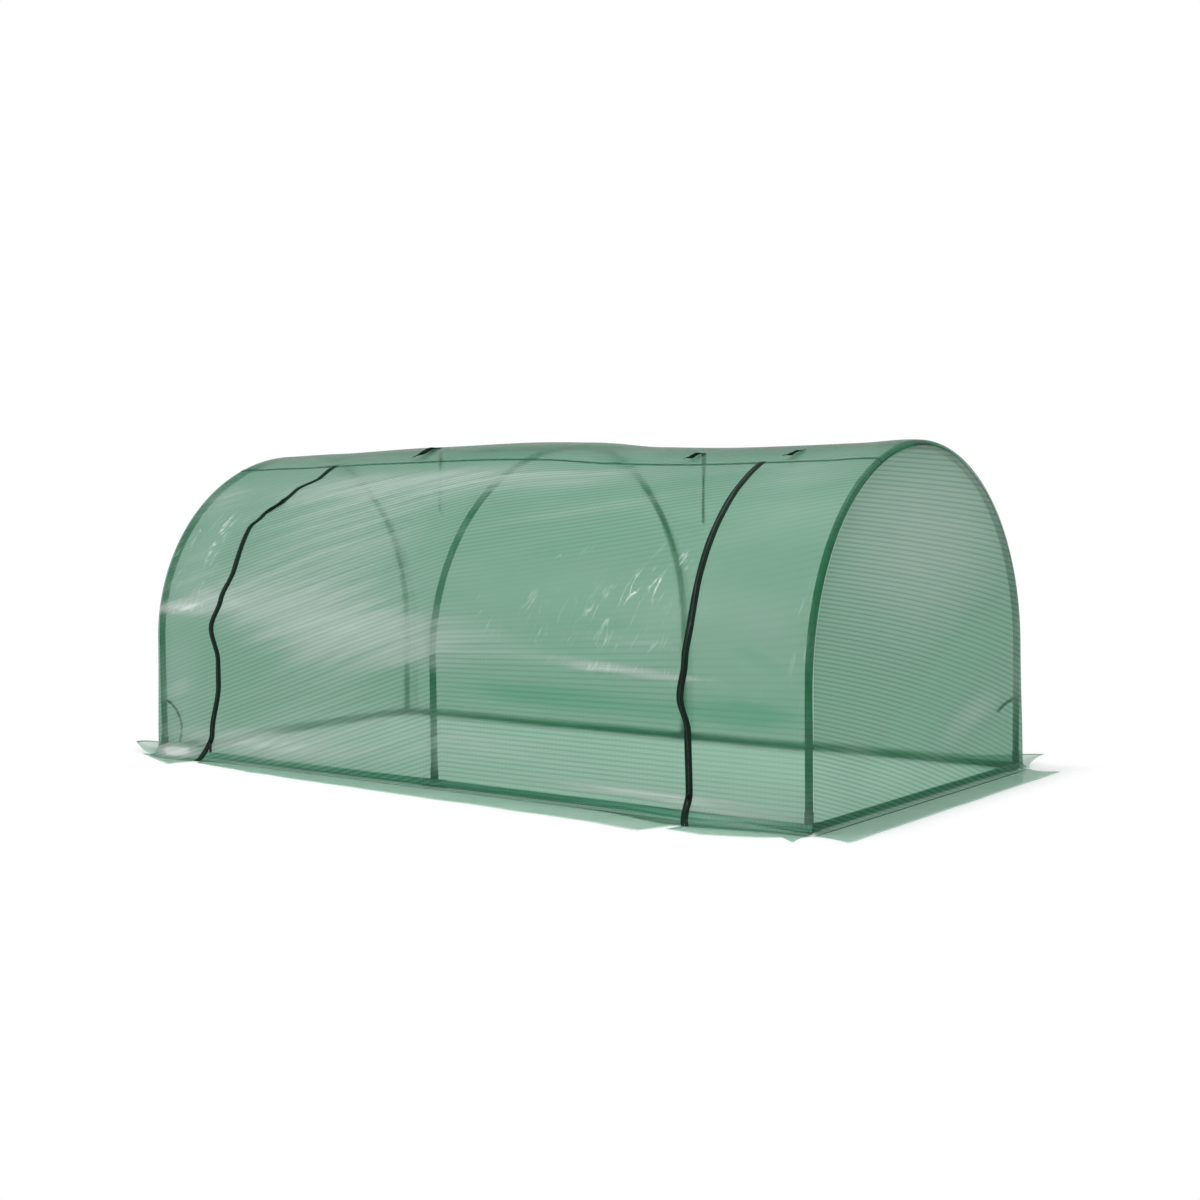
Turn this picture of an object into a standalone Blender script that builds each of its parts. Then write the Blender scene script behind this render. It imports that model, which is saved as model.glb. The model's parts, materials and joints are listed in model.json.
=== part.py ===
# Tunnel greenhouse: a steel tube frame of three hoops under a reinforced film cover
# with a roll-up door. Metres, +Z up, origin on the ground at the middle of the plan.
# X runs along the tunnel and the door is on the -Y side.
import math

import bmesh
import bpy
from mathutils import Quaternion, Vector

# Overall sizes of the covered tunnel
LENGTH = 2.0
WIDTH = 1.0
HEIGHT = 0.8

# Gap kept between pieces that touch
CLEARANCE = 0.0003

# Steel tubes
TUBE_RADIUS = 0.008
TUBE_WALL = 0.0008
TUBE_DETAIL = 4
SPIGOT_CLEARANCE = 0.0003
SPIGOT_LENGTH = 0.035
SPIGOT_SHOULDER = 0.002
END_RAIL_JOINT_Y = -0.09

# The middle hoop stands a little askew: its back foot is this far towards +X, its front foot
# as far towards -X
MIDDLE_HOOP_SKEW = 0.03

# Plastic connectors
SOCKET_CLEARANCE = 0.0004
SOCKET_WALL = 0.0016
SOCKET_DEPTH = 0.025
SOCKET_STOP = 0.0011
COLLAR_LENGTH = 0.004
COLLAR_STEP = 0.0006
SLEEVE_SIDES = 12
HUB_SIDES = 14

# A socket across the tunnel is turned this far about its own line, so that its facets don't
# lie on those of its neighbours
SOCKET_ROLL_DEGREES = 7.5

# Cover film and the flat steps that stand for its curve
FILM = 0.001
ARCH_STEPS = 24
LEG_STEPS = 6
DOOR_TOP_STEP = 9
ROUND_STEPS = 8

# Zips: distance from each end of the tunnel to the zip, and its wander along the sheet.
# Each pair is the height along the sheet and the sideways shift there.
ZIP_LEFT_INSET = 0.24
ZIP_RIGHT_INSET = 0.30
ZIP_LEFT_WANDER = [
    (0.0, -0.060), (0.07, -0.026), (0.20, 0.0), (0.26, 0.0), (0.345, -0.025), (0.42, 0.0),
    (0.50, 0.023), (0.627, 0.018), (0.667, 0.039), (0.712, 0.081), (0.761, 0.091),
    (0.817, 0.136), (0.885, 0.132),
]
ZIP_RIGHT_WANDER = [
    (0.0, -0.012), (0.06, 0.003), (0.19, 0.0), (0.26, -0.019), (0.345, -0.005), (0.42, 0.0),
    (0.885, 0.0),
]
ZIP_TAPE_WIDTH = 0.009
ZIP_TAPE = 0.0008
ZIP_MIDDLE_GAP = 0.0006
FILM_EDGE_UNDER_ZIP = 0.001

# Zip sliders and their pulls
SLIDER_REST_HEIGHT = 0.05
SLIDER_WIDTH = 0.010
SLIDER_FOOT_WIDTH = 0.007
SLIDER_HEIGHT = 0.014
SLIDER_THICKNESS = 0.0025
BRIDGE_WIDTH = 0.0024
BRIDGE_HEIGHT = 0.0086
BRIDGE_BAR = 0.0016
BRIDGE_GAP = 0.0024
PULL_WIDTH = 0.008
PULL_LENGTH = 0.030
PULL_BAR = 0.0014
PULL_SLOT_SIDE_CLEARANCE = 0.0006
PULL_SLOT_END_CLEARANCE = 0.0004

# Ground skirts. The back one flares out towards its right corner, where the film is slack.
SKIRT_WIDTH = 0.12
BACK_FLARE = 0.040
BACK_FLARE_START_X = 0.60

# How far each corner's two tips stand out from the tunnel's corner, along X and along Y, and how
# far out on the diagonal the round notch between them starts
CORNERS = {
    "left_front": {"end": (0.106, -0.010), "notch": 0.030},
    "right_front": {"long": (0.011, 0.087), "end": (0.104, 0.027), "notch": 0.010},
    "left_back": {"long": (0.020, SKIRT_WIDTH), "end": (0.100, 0.015), "notch": 0.025},
    "right_back": {"long": (-0.010, SKIRT_WIDTH + BACK_FLARE), "end": (0.093, 0.021), "notch": 0.015},
}

# Slits in the front skirt below the zips: sideways shift and distance out of the root, then of
# the door's tip and of the cover's tip
SLIT_LEFT = {"root": (0.002, 0.015), "door_tip": (0.035, 0.058), "cover_tip": (-0.014, 0.112)}
SLIT_RIGHT = {"root": (0.003, 0.015), "door_tip": (-0.008, 0.158), "cover_tip": (0.031, 0.112)}

# Outer edge of the door's skirt: distance from the right zip and distance out of the wall
DOOR_SKIRT_EDGE = [(1.25, 0.086), (0.99, 0.102), (0.59, 0.120), (0.18, 0.135)]

# Outer edge of the right front skirt: distance in from the end and distance out of the wall
FRONT_RIGHT_EDGE = [(0.190, 0.119), (0.073, 0.077), (0.035, 0.053)]

# Tie straps, sewn to the roof above the door
TIE_WIDTH = 0.012
TIE_THICKNESS = 0.001
TIE_FREE_END_DEGREES = 68.6
INNER_TIE_LENGTH = 0.165
TIES = {
    "left": {"end": -1, "inset": 0.625, "degrees": 83.0, "lean": 0.020, "inner": True},
    "middle": {"end": 1, "inset": 0.505, "degrees": 76.0, "lean": -0.008, "inner": True},
    "right": {"end": 1, "inset": 0.235, "degrees": 76.0, "lean": -0.010, "inner": False},
}

# Tapes knotted round two legs inside, with a tail. The tail's points are distances from the
# leg towards the tunnel's middle, and heights.
FRAME_TIE_WIDTH = 0.008
FRAME_TIES = {
    "left": {"end": -1, "side": "front", "tail": [
        (0.0, 0.142), (0.020, 0.133), (0.039, 0.118), (0.053, 0.098), (0.058, 0.076),
        (0.055, 0.052), (0.048, 0.030),
    ]},
    "right": {"end": 1, "side": "back", "tail": [
        (0.0, 0.177), (0.018, 0.168), (0.034, 0.156), (0.048, 0.141),
    ]},
}

# Sizes that follow from the ones above
ARCH_RADIUS = WIDTH / 2
LEG_HEIGHT = HEIGHT - ARCH_RADIUS
HALF_STEP = math.pi / ARCH_STEPS / 2
BORE_RADIUS = TUBE_RADIUS + SOCKET_CLEARANCE
SLEEVE_RADIUS = BORE_RADIUS + SOCKET_WALL
HUB_STOP = BORE_RADIUS + SOCKET_STOP
SLEEVE_LENGTH = HUB_STOP + SOCKET_DEPTH
FRAME_INSET = FILM + CLEARANCE + SLEEVE_RADIUS
HOOP_RADIUS = ARCH_RADIUS - FRAME_INSET
HOOP_X = LENGTH / 2 - FRAME_INSET
BASE_Z = SLEEVE_RADIUS
RIDGE_Z = LEG_HEIGHT + HOOP_RADIUS
TUBE_START = HUB_STOP + CLEARANCE
SPIGOT_RADIUS = TUBE_RADIUS - TUBE_WALL - SPIGOT_CLEARANCE
LEG_TOP_Z = LEG_HEIGHT - SPIGOT_SHOULDER - CLEARANCE
COVER_BOTTOM_Z = FILM + CLEARANCE
COVER_END_X = LENGTH / 2 - FILM - CLEARANCE
DOOR_TOP_STATION = LEG_STEPS + DOOR_TOP_STEP
LAST_STATION = 2 * LEG_STEPS + ARCH_STEPS
TAPE_OUT = CLEARANCE + ZIP_TAPE
HOOPS = {"left": (-HOOP_X, 0.0), "middle": (0.0, MIDDLE_HOOP_SKEW), "right": (HOOP_X, 0.0)}
SIDES = {"front": -1, "back": 1}


def start_scene():
    """Remove what is in the file and make the two collections."""
    for old in list(bpy.data.objects):
        bpy.data.objects.remove(old, do_unlink=True)
    made = []
    for name in ("tunnel_greenhouse", "cutters"):
        collection = bpy.data.collections.new(name)
        bpy.context.scene.collection.children.link(collection)
        made.append(collection)
    return made


PARTS, CUTTERS = start_scene()


def make_material(name, colour, roughness, metallic=0.0, alpha=1.0):
    material = bpy.data.materials.new(name)
    material.use_nodes = True
    shader = material.node_tree.nodes["Principled BSDF"]
    shader.inputs["Base Color"].default_value = (*colour, 1.0)
    shader.inputs["Roughness"].default_value = roughness
    shader.inputs["Metallic"].default_value = metallic
    shader.inputs["Alpha"].default_value = alpha
    return material


STEEL = make_material("coated_steel_tube", (0.03, 0.13, 0.08), 0.4, 0.2)
PLASTIC = make_material("connector_plastic", (0.02, 0.09, 0.06), 0.5)
SHEETING = make_material("green_reinforced_film", (0.22, 0.48, 0.36), 0.3, 0.0, 0.6)
WEBBING = make_material("black_webbing", (0.01, 0.015, 0.012), 0.8)
ENAMEL = make_material("black_zip_metal", (0.02, 0.02, 0.02), 0.35, 0.8)


# Helpers that add an object, a tube, a flat outline and a bent sheet

def add_object(name, data, material=None, cutter=False):
    piece = bpy.data.objects.new(name, data)
    if cutter:
        CUTTERS.objects.link(piece)
        piece.hide_render = True
        piece.display_type = "WIRE"
    else:
        PARTS.objects.link(piece)
        data.materials.append(material)
    return piece


def mesh_from(name, bm):
    mesh = bpy.data.meshes.new(name)
    bm.to_mesh(mesh)
    bm.free()
    return mesh


def add_solidify(piece, thickness):
    shell = piece.modifiers.new("thickness", "SOLIDIFY")
    shell.thickness = thickness
    shell.offset = -1.0
    return shell


def add_boolean(piece, other, operation):
    cut = piece.modifiers.new(operation.lower(), "BOOLEAN")
    cut.operation = operation
    cut.solver = "EXACT"
    cut.object = other
    return cut


def add_tube(name, points, radii=None):
    """A hollow steel tube along points; radii narrows it at a swaged end."""
    curve = bpy.data.curves.new(name, "CURVE")
    curve.dimensions = "3D"
    curve.bevel_depth = TUBE_RADIUS
    curve.bevel_resolution = TUBE_DETAIL
    curve.use_fill_caps = False
    spline = curve.splines.new("POLY")
    spline.points.add(len(points) - 1)
    for index, point in enumerate(points):
        spline.points[index].co = (*point, 1.0)
        if radii:
            spline.points[index].radius = radii[index] / TUBE_RADIUS
    piece = add_object(name, curve, STEEL)
    add_solidify(piece, TUBE_WALL)
    return piece


def add_outline(name, loops, thickness, material):
    """A flat plate in the XY plane, as thick as given, centred on z = 0."""
    curve = bpy.data.curves.new(name, "CURVE")
    curve.dimensions = "2D"
    curve.fill_mode = "BOTH"
    curve.extrude = thickness / 2
    for loop in loops:
        spline = curve.splines.new("POLY")
        spline.points.add(len(loop) - 1)
        for index, point in enumerate(loop):
            spline.points[index].co = (point[0], point[1], 0.0, 1.0)
        spline.use_cyclic_u = True
    return add_object(name, curve, material)


def station_point(station, out):
    """Y and Z on the cover's section at a station, moved outwards by out."""
    if station <= LEG_STEPS:
        return -(ARCH_RADIUS + out), leg_z(station)
    if station >= LEG_STEPS + ARCH_STEPS:
        return ARCH_RADIUS + out, leg_z(LAST_STATION - station)
    angle = (station - LEG_STEPS) * math.pi / ARCH_STEPS
    radius = ARCH_RADIUS + out / math.cos(HALF_STEP)
    return -radius * math.cos(angle), LEG_HEIGHT + radius * math.sin(angle)


def leg_z(station):
    return max(COVER_BOTTOM_Z, LEG_HEIGHT * station / LEG_STEPS)


def section_point(station, out):
    """The same at any place between two stations, on the flat between them."""
    low = math.floor(station)
    part = station - low
    y0, z0 = station_point(low, out)
    if part == 0.0:
        return y0, z0
    y1, z1 = station_point(low + 1, out)
    return y0 + (y1 - y0) * part, z0 + (z1 - z0) * part


def length_at(station):
    """Distance along the sheet from the ground on the door side."""
    if station <= LEG_STEPS:
        return LEG_HEIGHT * station / LEG_STEPS
    return LEG_HEIGHT + ARCH_RADIUS * (station - LEG_STEPS) * math.pi / ARCH_STEPS


def station_of(degrees):
    return LEG_STEPS + degrees / 180 * ARCH_STEPS


def rows_between(first, last):
    inner = [row for row in range(math.ceil(first), math.floor(last) + 1) if first < row < last]
    return [first, *inner, last]


def add_sheet(name, first, last, left_edge, right_edge, out, thickness, material):
    """A sheet bent over the section between two stations; edges are functions of length."""
    rows = rows_between(first, last)
    bm = bmesh.new()
    bmesh.ops.create_grid(bm, x_segments=1, y_segments=len(rows) - 1, size=1.0)
    for vert in bm.verts:
        row = rows[round((vert.co.y + 1) / 2 * (len(rows) - 1))]
        along = length_at(row)
        x = left_edge(along) if vert.co.x < 0 else right_edge(along)
        y, z = section_point(row, out)
        vert.co = (x, y, z)
    piece = add_object(name, mesh_from(name, bm), material)
    add_solidify(piece, thickness).use_even_offset = True
    return piece


def straight(x):
    return lambda along: x


def ease_between(points, along):
    """A smooth value through the given pairs."""
    for (start, a), (end, b) in zip(points, points[1:]):
        if along <= end:
            part = max(0.0, (along - start) / (end - start))
            return a + (b - a) * part * part * (3 - 2 * part)
    return points[-1][1]


def zip_left(along):
    return -LENGTH / 2 + ZIP_LEFT_INSET + ease_between(ZIP_LEFT_WANDER, along)


def zip_right(along):
    return LENGTH / 2 - ZIP_RIGHT_INSET + ease_between(ZIP_RIGHT_WANDER, along)


def beside(line, shift):
    return lambda along: line(along) + shift


def move_origin(piece, point):
    """Put a piece's origin at a point and leave its shape where it is."""
    offset = Vector(point)
    if piece.type == "MESH":
        for vert in piece.data.vertices:
            vert.co -= offset
    piece.location = offset


def hang_on(piece, empty):
    piece.parent = empty
    piece.location = piece.location - empty.location


# Frame

def hoop_foot_x(name, side):
    middle, skew = HOOPS[name]
    return middle + side * skew


def hoop_point(name, side, step):
    middle, skew = HOOPS[name]
    angle = step * math.pi / ARCH_STEPS
    across = side * math.cos(angle)
    height = LEG_HEIGHT + HOOP_RADIUS * math.sin(angle)
    return middle + skew * across, HOOP_RADIUS * across, height


def build_hoop(name):
    """Two legs, and two quarter arches that plug into them and meet at the ridge."""
    crown = Vector((HOOPS[name][0], 0.0, RIDGE_Z))
    for side_name, side in SIDES.items():
        x = hoop_foot_x(name, side)
        y = side * HOOP_RADIUS
        add_tube(f"leg_{name}_{side_name}", [(x, y, BASE_Z + TUBE_START), (x, y, LEG_TOP_Z)])
        spigot_end = (x, y, LEG_TOP_Z - SPIGOT_LENGTH)
        spigot_root = (x, y, LEG_TOP_Z + CLEARANCE)
        points = [spigot_end, spigot_root]
        radii = [SPIGOT_RADIUS, SPIGOT_RADIUS]
        quarter = ARCH_STEPS // 2
        for step in range(quarter):
            points.append(hoop_point(name, side, step))
            radii.append(TUBE_RADIUS)
        before = Vector(points[-1])
        points.append(crown + (before - crown).normalized() * TUBE_START)
        radii.append(TUBE_RADIUS)
        add_tube(f"arch_{name}_{side_name}", points, radii)


def build_rails():
    """Long base rails and ridge tubes in two lengths, end rails in two slip-fitted halves."""
    for end_name, end in (("left", -1), ("right", 1)):
        inner = end * TUBE_START
        outer = end * (HOOP_X - TUBE_START)
        for side_name, side in SIDES.items():
            y = side * HOOP_RADIUS
            tee_x = hoop_foot_x("middle", side)
            rail = [(tee_x + inner, y, BASE_Z), (outer, y, BASE_Z)]
            add_tube(f"base_rail_{side_name}_{end_name}", rail)
        add_tube(f"ridge_tube_{end_name}", [(inner, 0.0, RIDGE_Z), (outer, 0.0, RIDGE_Z)])
        x = end * HOOP_X
        reach = HOOP_RADIUS - TUBE_START
        joint = END_RAIL_JOINT_Y
        add_tube(f"end_rail_{end_name}_back", [(x, joint, BASE_Z), (x, reach, BASE_Z)])
        rail_ends = [
            -reach, joint - CLEARANCE - SPIGOT_SHOULDER, joint - CLEARANCE, joint + SPIGOT_LENGTH,
        ]
        radii = [TUBE_RADIUS, TUBE_RADIUS, SPIGOT_RADIUS, SPIGOT_RADIUS]
        add_tube(f"end_rail_{end_name}_front", [(x, y, BASE_Z) for y in rail_ends], radii)


def add_sleeve(name, centre, direction, cutter):
    """A socket sleeve with a collar at its mouth, turned from its profile."""
    body = SLEEVE_RADIUS - COLLAR_STEP
    root = -COLLAR_STEP * 3
    profile = [
        (0.0, SLEEVE_LENGTH),
        (SLEEVE_RADIUS, SLEEVE_LENGTH),
        (SLEEVE_RADIUS, SLEEVE_LENGTH - COLLAR_LENGTH),
        (body, SLEEVE_LENGTH - COLLAR_LENGTH - COLLAR_STEP),
        (body, root),
        (0.0, root),
    ]
    bm = bmesh.new()
    verts = [bm.verts.new((x, 0.0, z)) for x, z in profile]
    for a, b in zip(verts, verts[1:]):
        bm.edges.new((a, b))
    piece = add_object(name, mesh_from(name, bm), PLASTIC, cutter)
    turn = piece.modifiers.new("turn", "SCREW")
    turn.axis = "Z"
    turn.steps = SLEEVE_SIDES
    turn.render_steps = SLEEVE_SIDES
    turn.use_merge_vertices = True
    turn.merge_threshold = 0.00001
    point_along(piece, centre, direction)
    return piece


def point_along(piece, centre, direction):
    piece.location = centre
    piece.rotation_mode = "QUATERNION"
    way = Vector(direction)
    roll = Quaternion((0, 0, 1), math.radians(SOCKET_ROLL_DEGREES * abs(way.y)))
    piece.rotation_quaternion = way.to_track_quat("Z", "Y") @ roll


def build_connector(name, centre, directions):
    """A moulded connector: one sleeve to each tube, a round hub and a bore in each sleeve."""
    piece = add_sleeve(name, centre, directions[0], False)
    for index, direction in enumerate(directions[1:]):
        sleeve = add_sleeve(f"{name}_sleeve_{index}", centre, direction, True)
        add_boolean(piece, sleeve, "UNION")
    bm = bmesh.new()
    bmesh.ops.create_uvsphere(bm, u_segments=HUB_SIDES, v_segments=8, radius=SLEEVE_RADIUS)
    hub = add_object(f"{name}_hub", mesh_from(f"{name}_hub", bm), None, True)
    hub.location = centre
    add_boolean(piece, hub, "UNION")
    for index, direction in enumerate(directions):
        bm = bmesh.new()
        depth = SOCKET_DEPTH * 2
        bmesh.ops.create_cone(
            bm, cap_ends=True, segments=SLEEVE_SIDES,
            radius1=BORE_RADIUS, radius2=BORE_RADIUS, depth=depth,
        )
        bmesh.ops.translate(bm, verts=bm.verts, vec=(0, 0, HUB_STOP + depth / 2))
        bore = add_object(f"{name}_bore_{index}", mesh_from(f"{name}_bore", bm), None, True)
        point_along(bore, centre, direction)
        add_boolean(piece, bore, "DIFFERENCE")
    return piece


def build_connectors():
    up = (0, 0, 1)
    for side_name, side in SIDES.items():
        y = side * HOOP_RADIUS
        for end_name, end in (("left", -1), ("right", 1)):
            ways = [up, (-end, 0, 0), (0, -side, 0)]
            build_connector(f"corner_{end_name}_{side_name}", (end * HOOP_X, y, BASE_Z), ways)
        tee_x = hoop_foot_x("middle", side)
        build_connector(f"base_tee_{side_name}", (tee_x, y, BASE_Z), [up, (1, 0, 0), (-1, 0, 0)])
    for end_name, end in (("left", -1), ("right", 1)):
        ways = [(-end, 0, 0), *arch_ways(end_name)]
        build_connector(f"ridge_connector_{end_name}", (end * HOOP_X, 0, RIDGE_Z), ways)
    ways = [(1, 0, 0), (-1, 0, 0), *arch_ways("middle")]
    build_connector("ridge_connector_middle", (0, 0, RIDGE_Z), ways)


def arch_ways(name):
    """Directions from the ridge connector down the hoop's two quarter arches."""
    crown = Vector((HOOPS[name][0], 0.0, RIDGE_Z))
    last = ARCH_STEPS // 2 - 1
    return [(Vector(hoop_point(name, side, last)) - crown).normalized() for side in (-1, 1)]


# Cover

def build_fixed_cover():
    """Roof and back in one sheet, a strip each side of the door, and the two end walls."""
    left_end = straight(-COVER_END_X)
    right_end = straight(COVER_END_X)
    under = FILM_EDGE_UNDER_ZIP
    add_sheet("cover_roof_and_back", DOOR_TOP_STATION, LAST_STATION, left_end, right_end,
              0.0, FILM, SHEETING)
    top = DOOR_TOP_STATION - seam_gap()
    add_sheet("cover_strip_left", 0, top, left_end, beside(zip_left, -under), 0.0, FILM, SHEETING)
    add_sheet("cover_strip_right", 0, top, beside(zip_right, under), right_end,
              0.0, FILM, SHEETING)
    outline = [section_point(station, 0.0) for station in range(LAST_STATION + 1)]
    for end_name, end in (("left", -1), ("right", 1)):
        wall = add_outline(f"cover_end_{end_name}", [outline], FILM, SHEETING)
        wall.location = (end * (LENGTH / 2 - FILM / 2), 0, 0)
        wall.rotation_euler = (math.pi / 2, 0, math.pi / 2)


def seam_gap():
    """The clearance at the door's top seam, in stations."""
    return CLEARANCE / (ARCH_RADIUS * math.pi / ARCH_STEPS)


def build_zip_tape(name, line, side, top):
    """One half of a zip, sewn on the film; side is the way it lies from the zip's middle."""
    near = side * ZIP_MIDDLE_GAP / 2
    far = side * ZIP_TAPE_WIDTH
    edges = [beside(line, min(near, far)), beside(line, max(near, far))]
    return add_sheet(name, 0, top, *edges, TAPE_OUT, ZIP_TAPE, WEBBING)


def door_hinge_point():
    y, z = section_point(DOOR_TOP_STATION, 0.0)
    return Vector((0.0, y, z))


def build_door():
    """The roll-up front: film, its ground skirt and its half of each zip, on one hinge line."""
    hinge = bpy.data.objects.new("door_hinge", None)
    PARTS.objects.link(hinge)
    hinge.location = door_hinge_point()
    top = DOOR_TOP_STATION - seam_gap()
    under = FILM_EDGE_UNDER_ZIP
    panel = add_sheet("door_panel", 0, top, beside(zip_left, under), beside(zip_right, -under),
                      0.0, FILM, SHEETING)
    left_tape = build_zip_tape("zip_left_door_tape", zip_left, 1, top)
    right_tape = build_zip_tape("zip_right_door_tape", zip_right, -1, top)
    for piece in (panel, left_tape, right_tape):
        move_origin(piece, hinge.location)
        hang_on(piece, hinge)
    hang_on(build_door_skirt(), hinge)


def build_fixed_zips():
    top = DOOR_TOP_STATION - seam_gap()
    build_zip_tape("zip_left_cover_tape", zip_left, -1, top)
    build_zip_tape("zip_right_cover_tape", zip_right, 1, top)


# Ground skirts

def corner_curve(tips):
    """Points out from the tunnel's corner: the long skirt's tip, the notch, the end skirt's tip."""
    long_tip = Vector(tips["long"])
    end_tip = Vector(tips["end"])
    notch = Vector((tips["notch"], tips["notch"]))
    bend = 2 * notch - (long_tip + end_tip) / 2
    points = []
    for step in range(ROUND_STEPS + 1):
        part = step / ROUND_STEPS
        rest = 1 - part
        points.append(rest * rest * long_tip + 2 * rest * part * bend + part * part * end_tip)
    return points


def corner_points(corner, end, side, of_long_skirt):
    """One skirt's points at a corner, from its tip to the seam and the wall's inside."""
    tips = dict(CORNERS[corner])
    if "long" not in tips:
        tip_x = zip_left(0.0) + SLIT_LEFT["cover_tip"][0]
        tips["long"] = (-LENGTH / 2 - tip_x, SLIT_LEFT["cover_tip"][1])
    curve = corner_curve(tips)
    half = ROUND_STEPS // 2
    outward = curve[:half + 1] if of_long_skirt else list(reversed(curve[half:]))
    gap = CLEARANCE / math.sqrt(2)
    shift = Vector((-gap, 0.0)) if of_long_skirt else Vector((0.0, -gap))
    outward[-1] = outward[-1] + shift
    outward.append(Vector((-FILM, -FILM)) + shift)
    return [(end * (LENGTH / 2 + x), side * (WIDTH / 2 + y)) for x, y in outward]


def add_skirt(name, outline):
    piece = add_outline(name, [outline], FILM, SHEETING)
    piece.location = (0, 0, FILM / 2)
    return piece


def build_back_and_end_skirts():
    left = corner_points("left_back", -1, 1, True)
    right = corner_points("right_back", 1, 1, True)
    flare_start = (BACK_FLARE_START_X, WIDTH / 2 + SKIRT_WIDTH)
    add_skirt("skirt_back", [*reversed(left), flare_start, *right])
    for end_name, end in (("left", -1), ("right", 1)):
        front = corner_points(f"{end_name}_front", end, -1, False)
        back = corner_points(f"{end_name}_back", end, 1, False)
        add_skirt(f"skirt_{end_name}", [*reversed(front), *back])


def slit_edge(zip_x, slit, tip, side):
    """A skirt's edge beside a zip, from the inside of the wall out to its tip."""
    x = zip_x + side * ZIP_MIDDLE_GAP / 2
    wall = -WIDTH / 2
    root_shift, root_reach = slit["root"]
    tip_shift, tip_reach = slit[tip]
    points = [(x, wall + FILM), (x, wall - FILM)]
    steps = ROUND_STEPS // 2
    for step in range(steps + 1):
        part = step / steps
        shift = root_shift + (tip_shift - root_shift) * part * part
        points.append((x + shift, wall - root_reach - (tip_reach - root_reach) * part))
    return points


def build_front_skirts():
    """The two short front skirts, fixed on each side of the door."""
    slit = slit_edge(zip_right(0.0), SLIT_RIGHT, "cover_tip", 1)
    edge = [(LENGTH / 2 - inset, -WIDTH / 2 - reach) for inset, reach in FRONT_RIGHT_EDGE]
    corner = corner_points("right_front", 1, -1, True)
    add_skirt("skirt_front_right", slit + edge + corner)
    slit = slit_edge(zip_left(0.0), SLIT_LEFT, "cover_tip", -1)
    corner = corner_points("left_front", -1, -1, True)
    add_skirt("skirt_front_left", slit[:-1] + corner)


def build_door_skirt():
    right = slit_edge(zip_right(0.0), SLIT_RIGHT, "door_tip", -1)
    left = slit_edge(zip_left(0.0), SLIT_LEFT, "door_tip", 1)
    edge = [(zip_right(0.0) - distance, -WIDTH / 2 - reach) for distance, reach in DOOR_SKIRT_EDGE]
    return add_skirt("door_skirt", left + edge + list(reversed(right)))


# Zip sliders

def add_block(name, size, centre, material=None, cutter=True):
    bm = bmesh.new()
    bmesh.ops.create_cube(bm, size=1.0)
    bmesh.ops.scale(bm, verts=bm.verts, vec=size)
    bmesh.ops.translate(bm, verts=bm.verts, vec=centre)
    return add_object(name, mesh_from(name, bm), material, cutter)


def slider_face():
    """How far the slider's outer face stands from the cover."""
    return TAPE_OUT + CLEARANCE + SLIDER_THICKNESS


def build_slider(name, line):
    """A zip slider with a bridge, and a pull whose top bar hangs under the bridge."""
    place = Vector((line(SLIDER_REST_HEIGHT), -ARCH_RADIUS, SLIDER_REST_HEIGHT))
    face = slider_face()
    body_y = -face + SLIDER_THICKNESS / 2
    slider = add_block(f"zip_slider_{name}", (SLIDER_WIDTH, SLIDER_THICKNESS, SLIDER_HEIGHT),
                       (0, body_y, 0), ENAMEL, False)
    for vert in slider.data.vertices:
        if vert.co.z < 0:
            vert.co.x *= SLIDER_FOOT_WIDTH / SLIDER_WIDTH
    slider.location = place
    root = SLIDER_THICKNESS / 4
    stand = BRIDGE_GAP + BRIDGE_BAR + root
    bridge = add_block(f"bridge_{name}", (BRIDGE_WIDTH, stand, BRIDGE_HEIGHT),
                       (0, -face + root - stand / 2, 0))
    hole = add_block(f"bridge_hole_{name}",
                     (BRIDGE_WIDTH * 2, BRIDGE_GAP, BRIDGE_HEIGHT - 2 * BRIDGE_BAR),
                     (0, -face - BRIDGE_GAP / 2, 0))
    for other, operation in ((bridge, "UNION"), (hole, "DIFFERENCE")):
        other.location = place
        add_boolean(slider, other, operation)
    axis = place + Vector((0, -face - BRIDGE_GAP / 2, 0))
    build_pull(f"zip_pull_{name}", axis)


def build_pull(name, axis):
    """A flat pull with a slot round the bridge; its origin is on the bar it turns about."""
    half = PULL_WIDTH / 2
    top = PULL_BAR / 2
    corner = PULL_BAR
    outline = [(-half, top - corner), (-half + corner, top), (half - corner, top), (half, top - corner)]
    middle = top - PULL_LENGTH + half
    steps = ROUND_STEPS
    for step in range(steps + 1):
        angle = -math.pi * step / steps
        outline.append((half * math.cos(angle), middle + half * math.sin(angle)))
    slot_half = BRIDGE_WIDTH / 2 + PULL_SLOT_SIDE_CLEARANCE
    sweep = math.hypot(BRIDGE_GAP / 2 + BRIDGE_BAR, BRIDGE_HEIGHT / 2)
    slot_end = -sweep - PULL_SLOT_END_CLEARANCE
    slot = [(-slot_half, -top), (slot_half, -top), (slot_half, slot_end), (-slot_half, slot_end)]
    pull = add_outline(name, [outline, slot], PULL_BAR, ENAMEL)
    pull.location = axis
    pull.rotation_euler = (math.pi / 2, 0, 0)


# Tie straps

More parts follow.
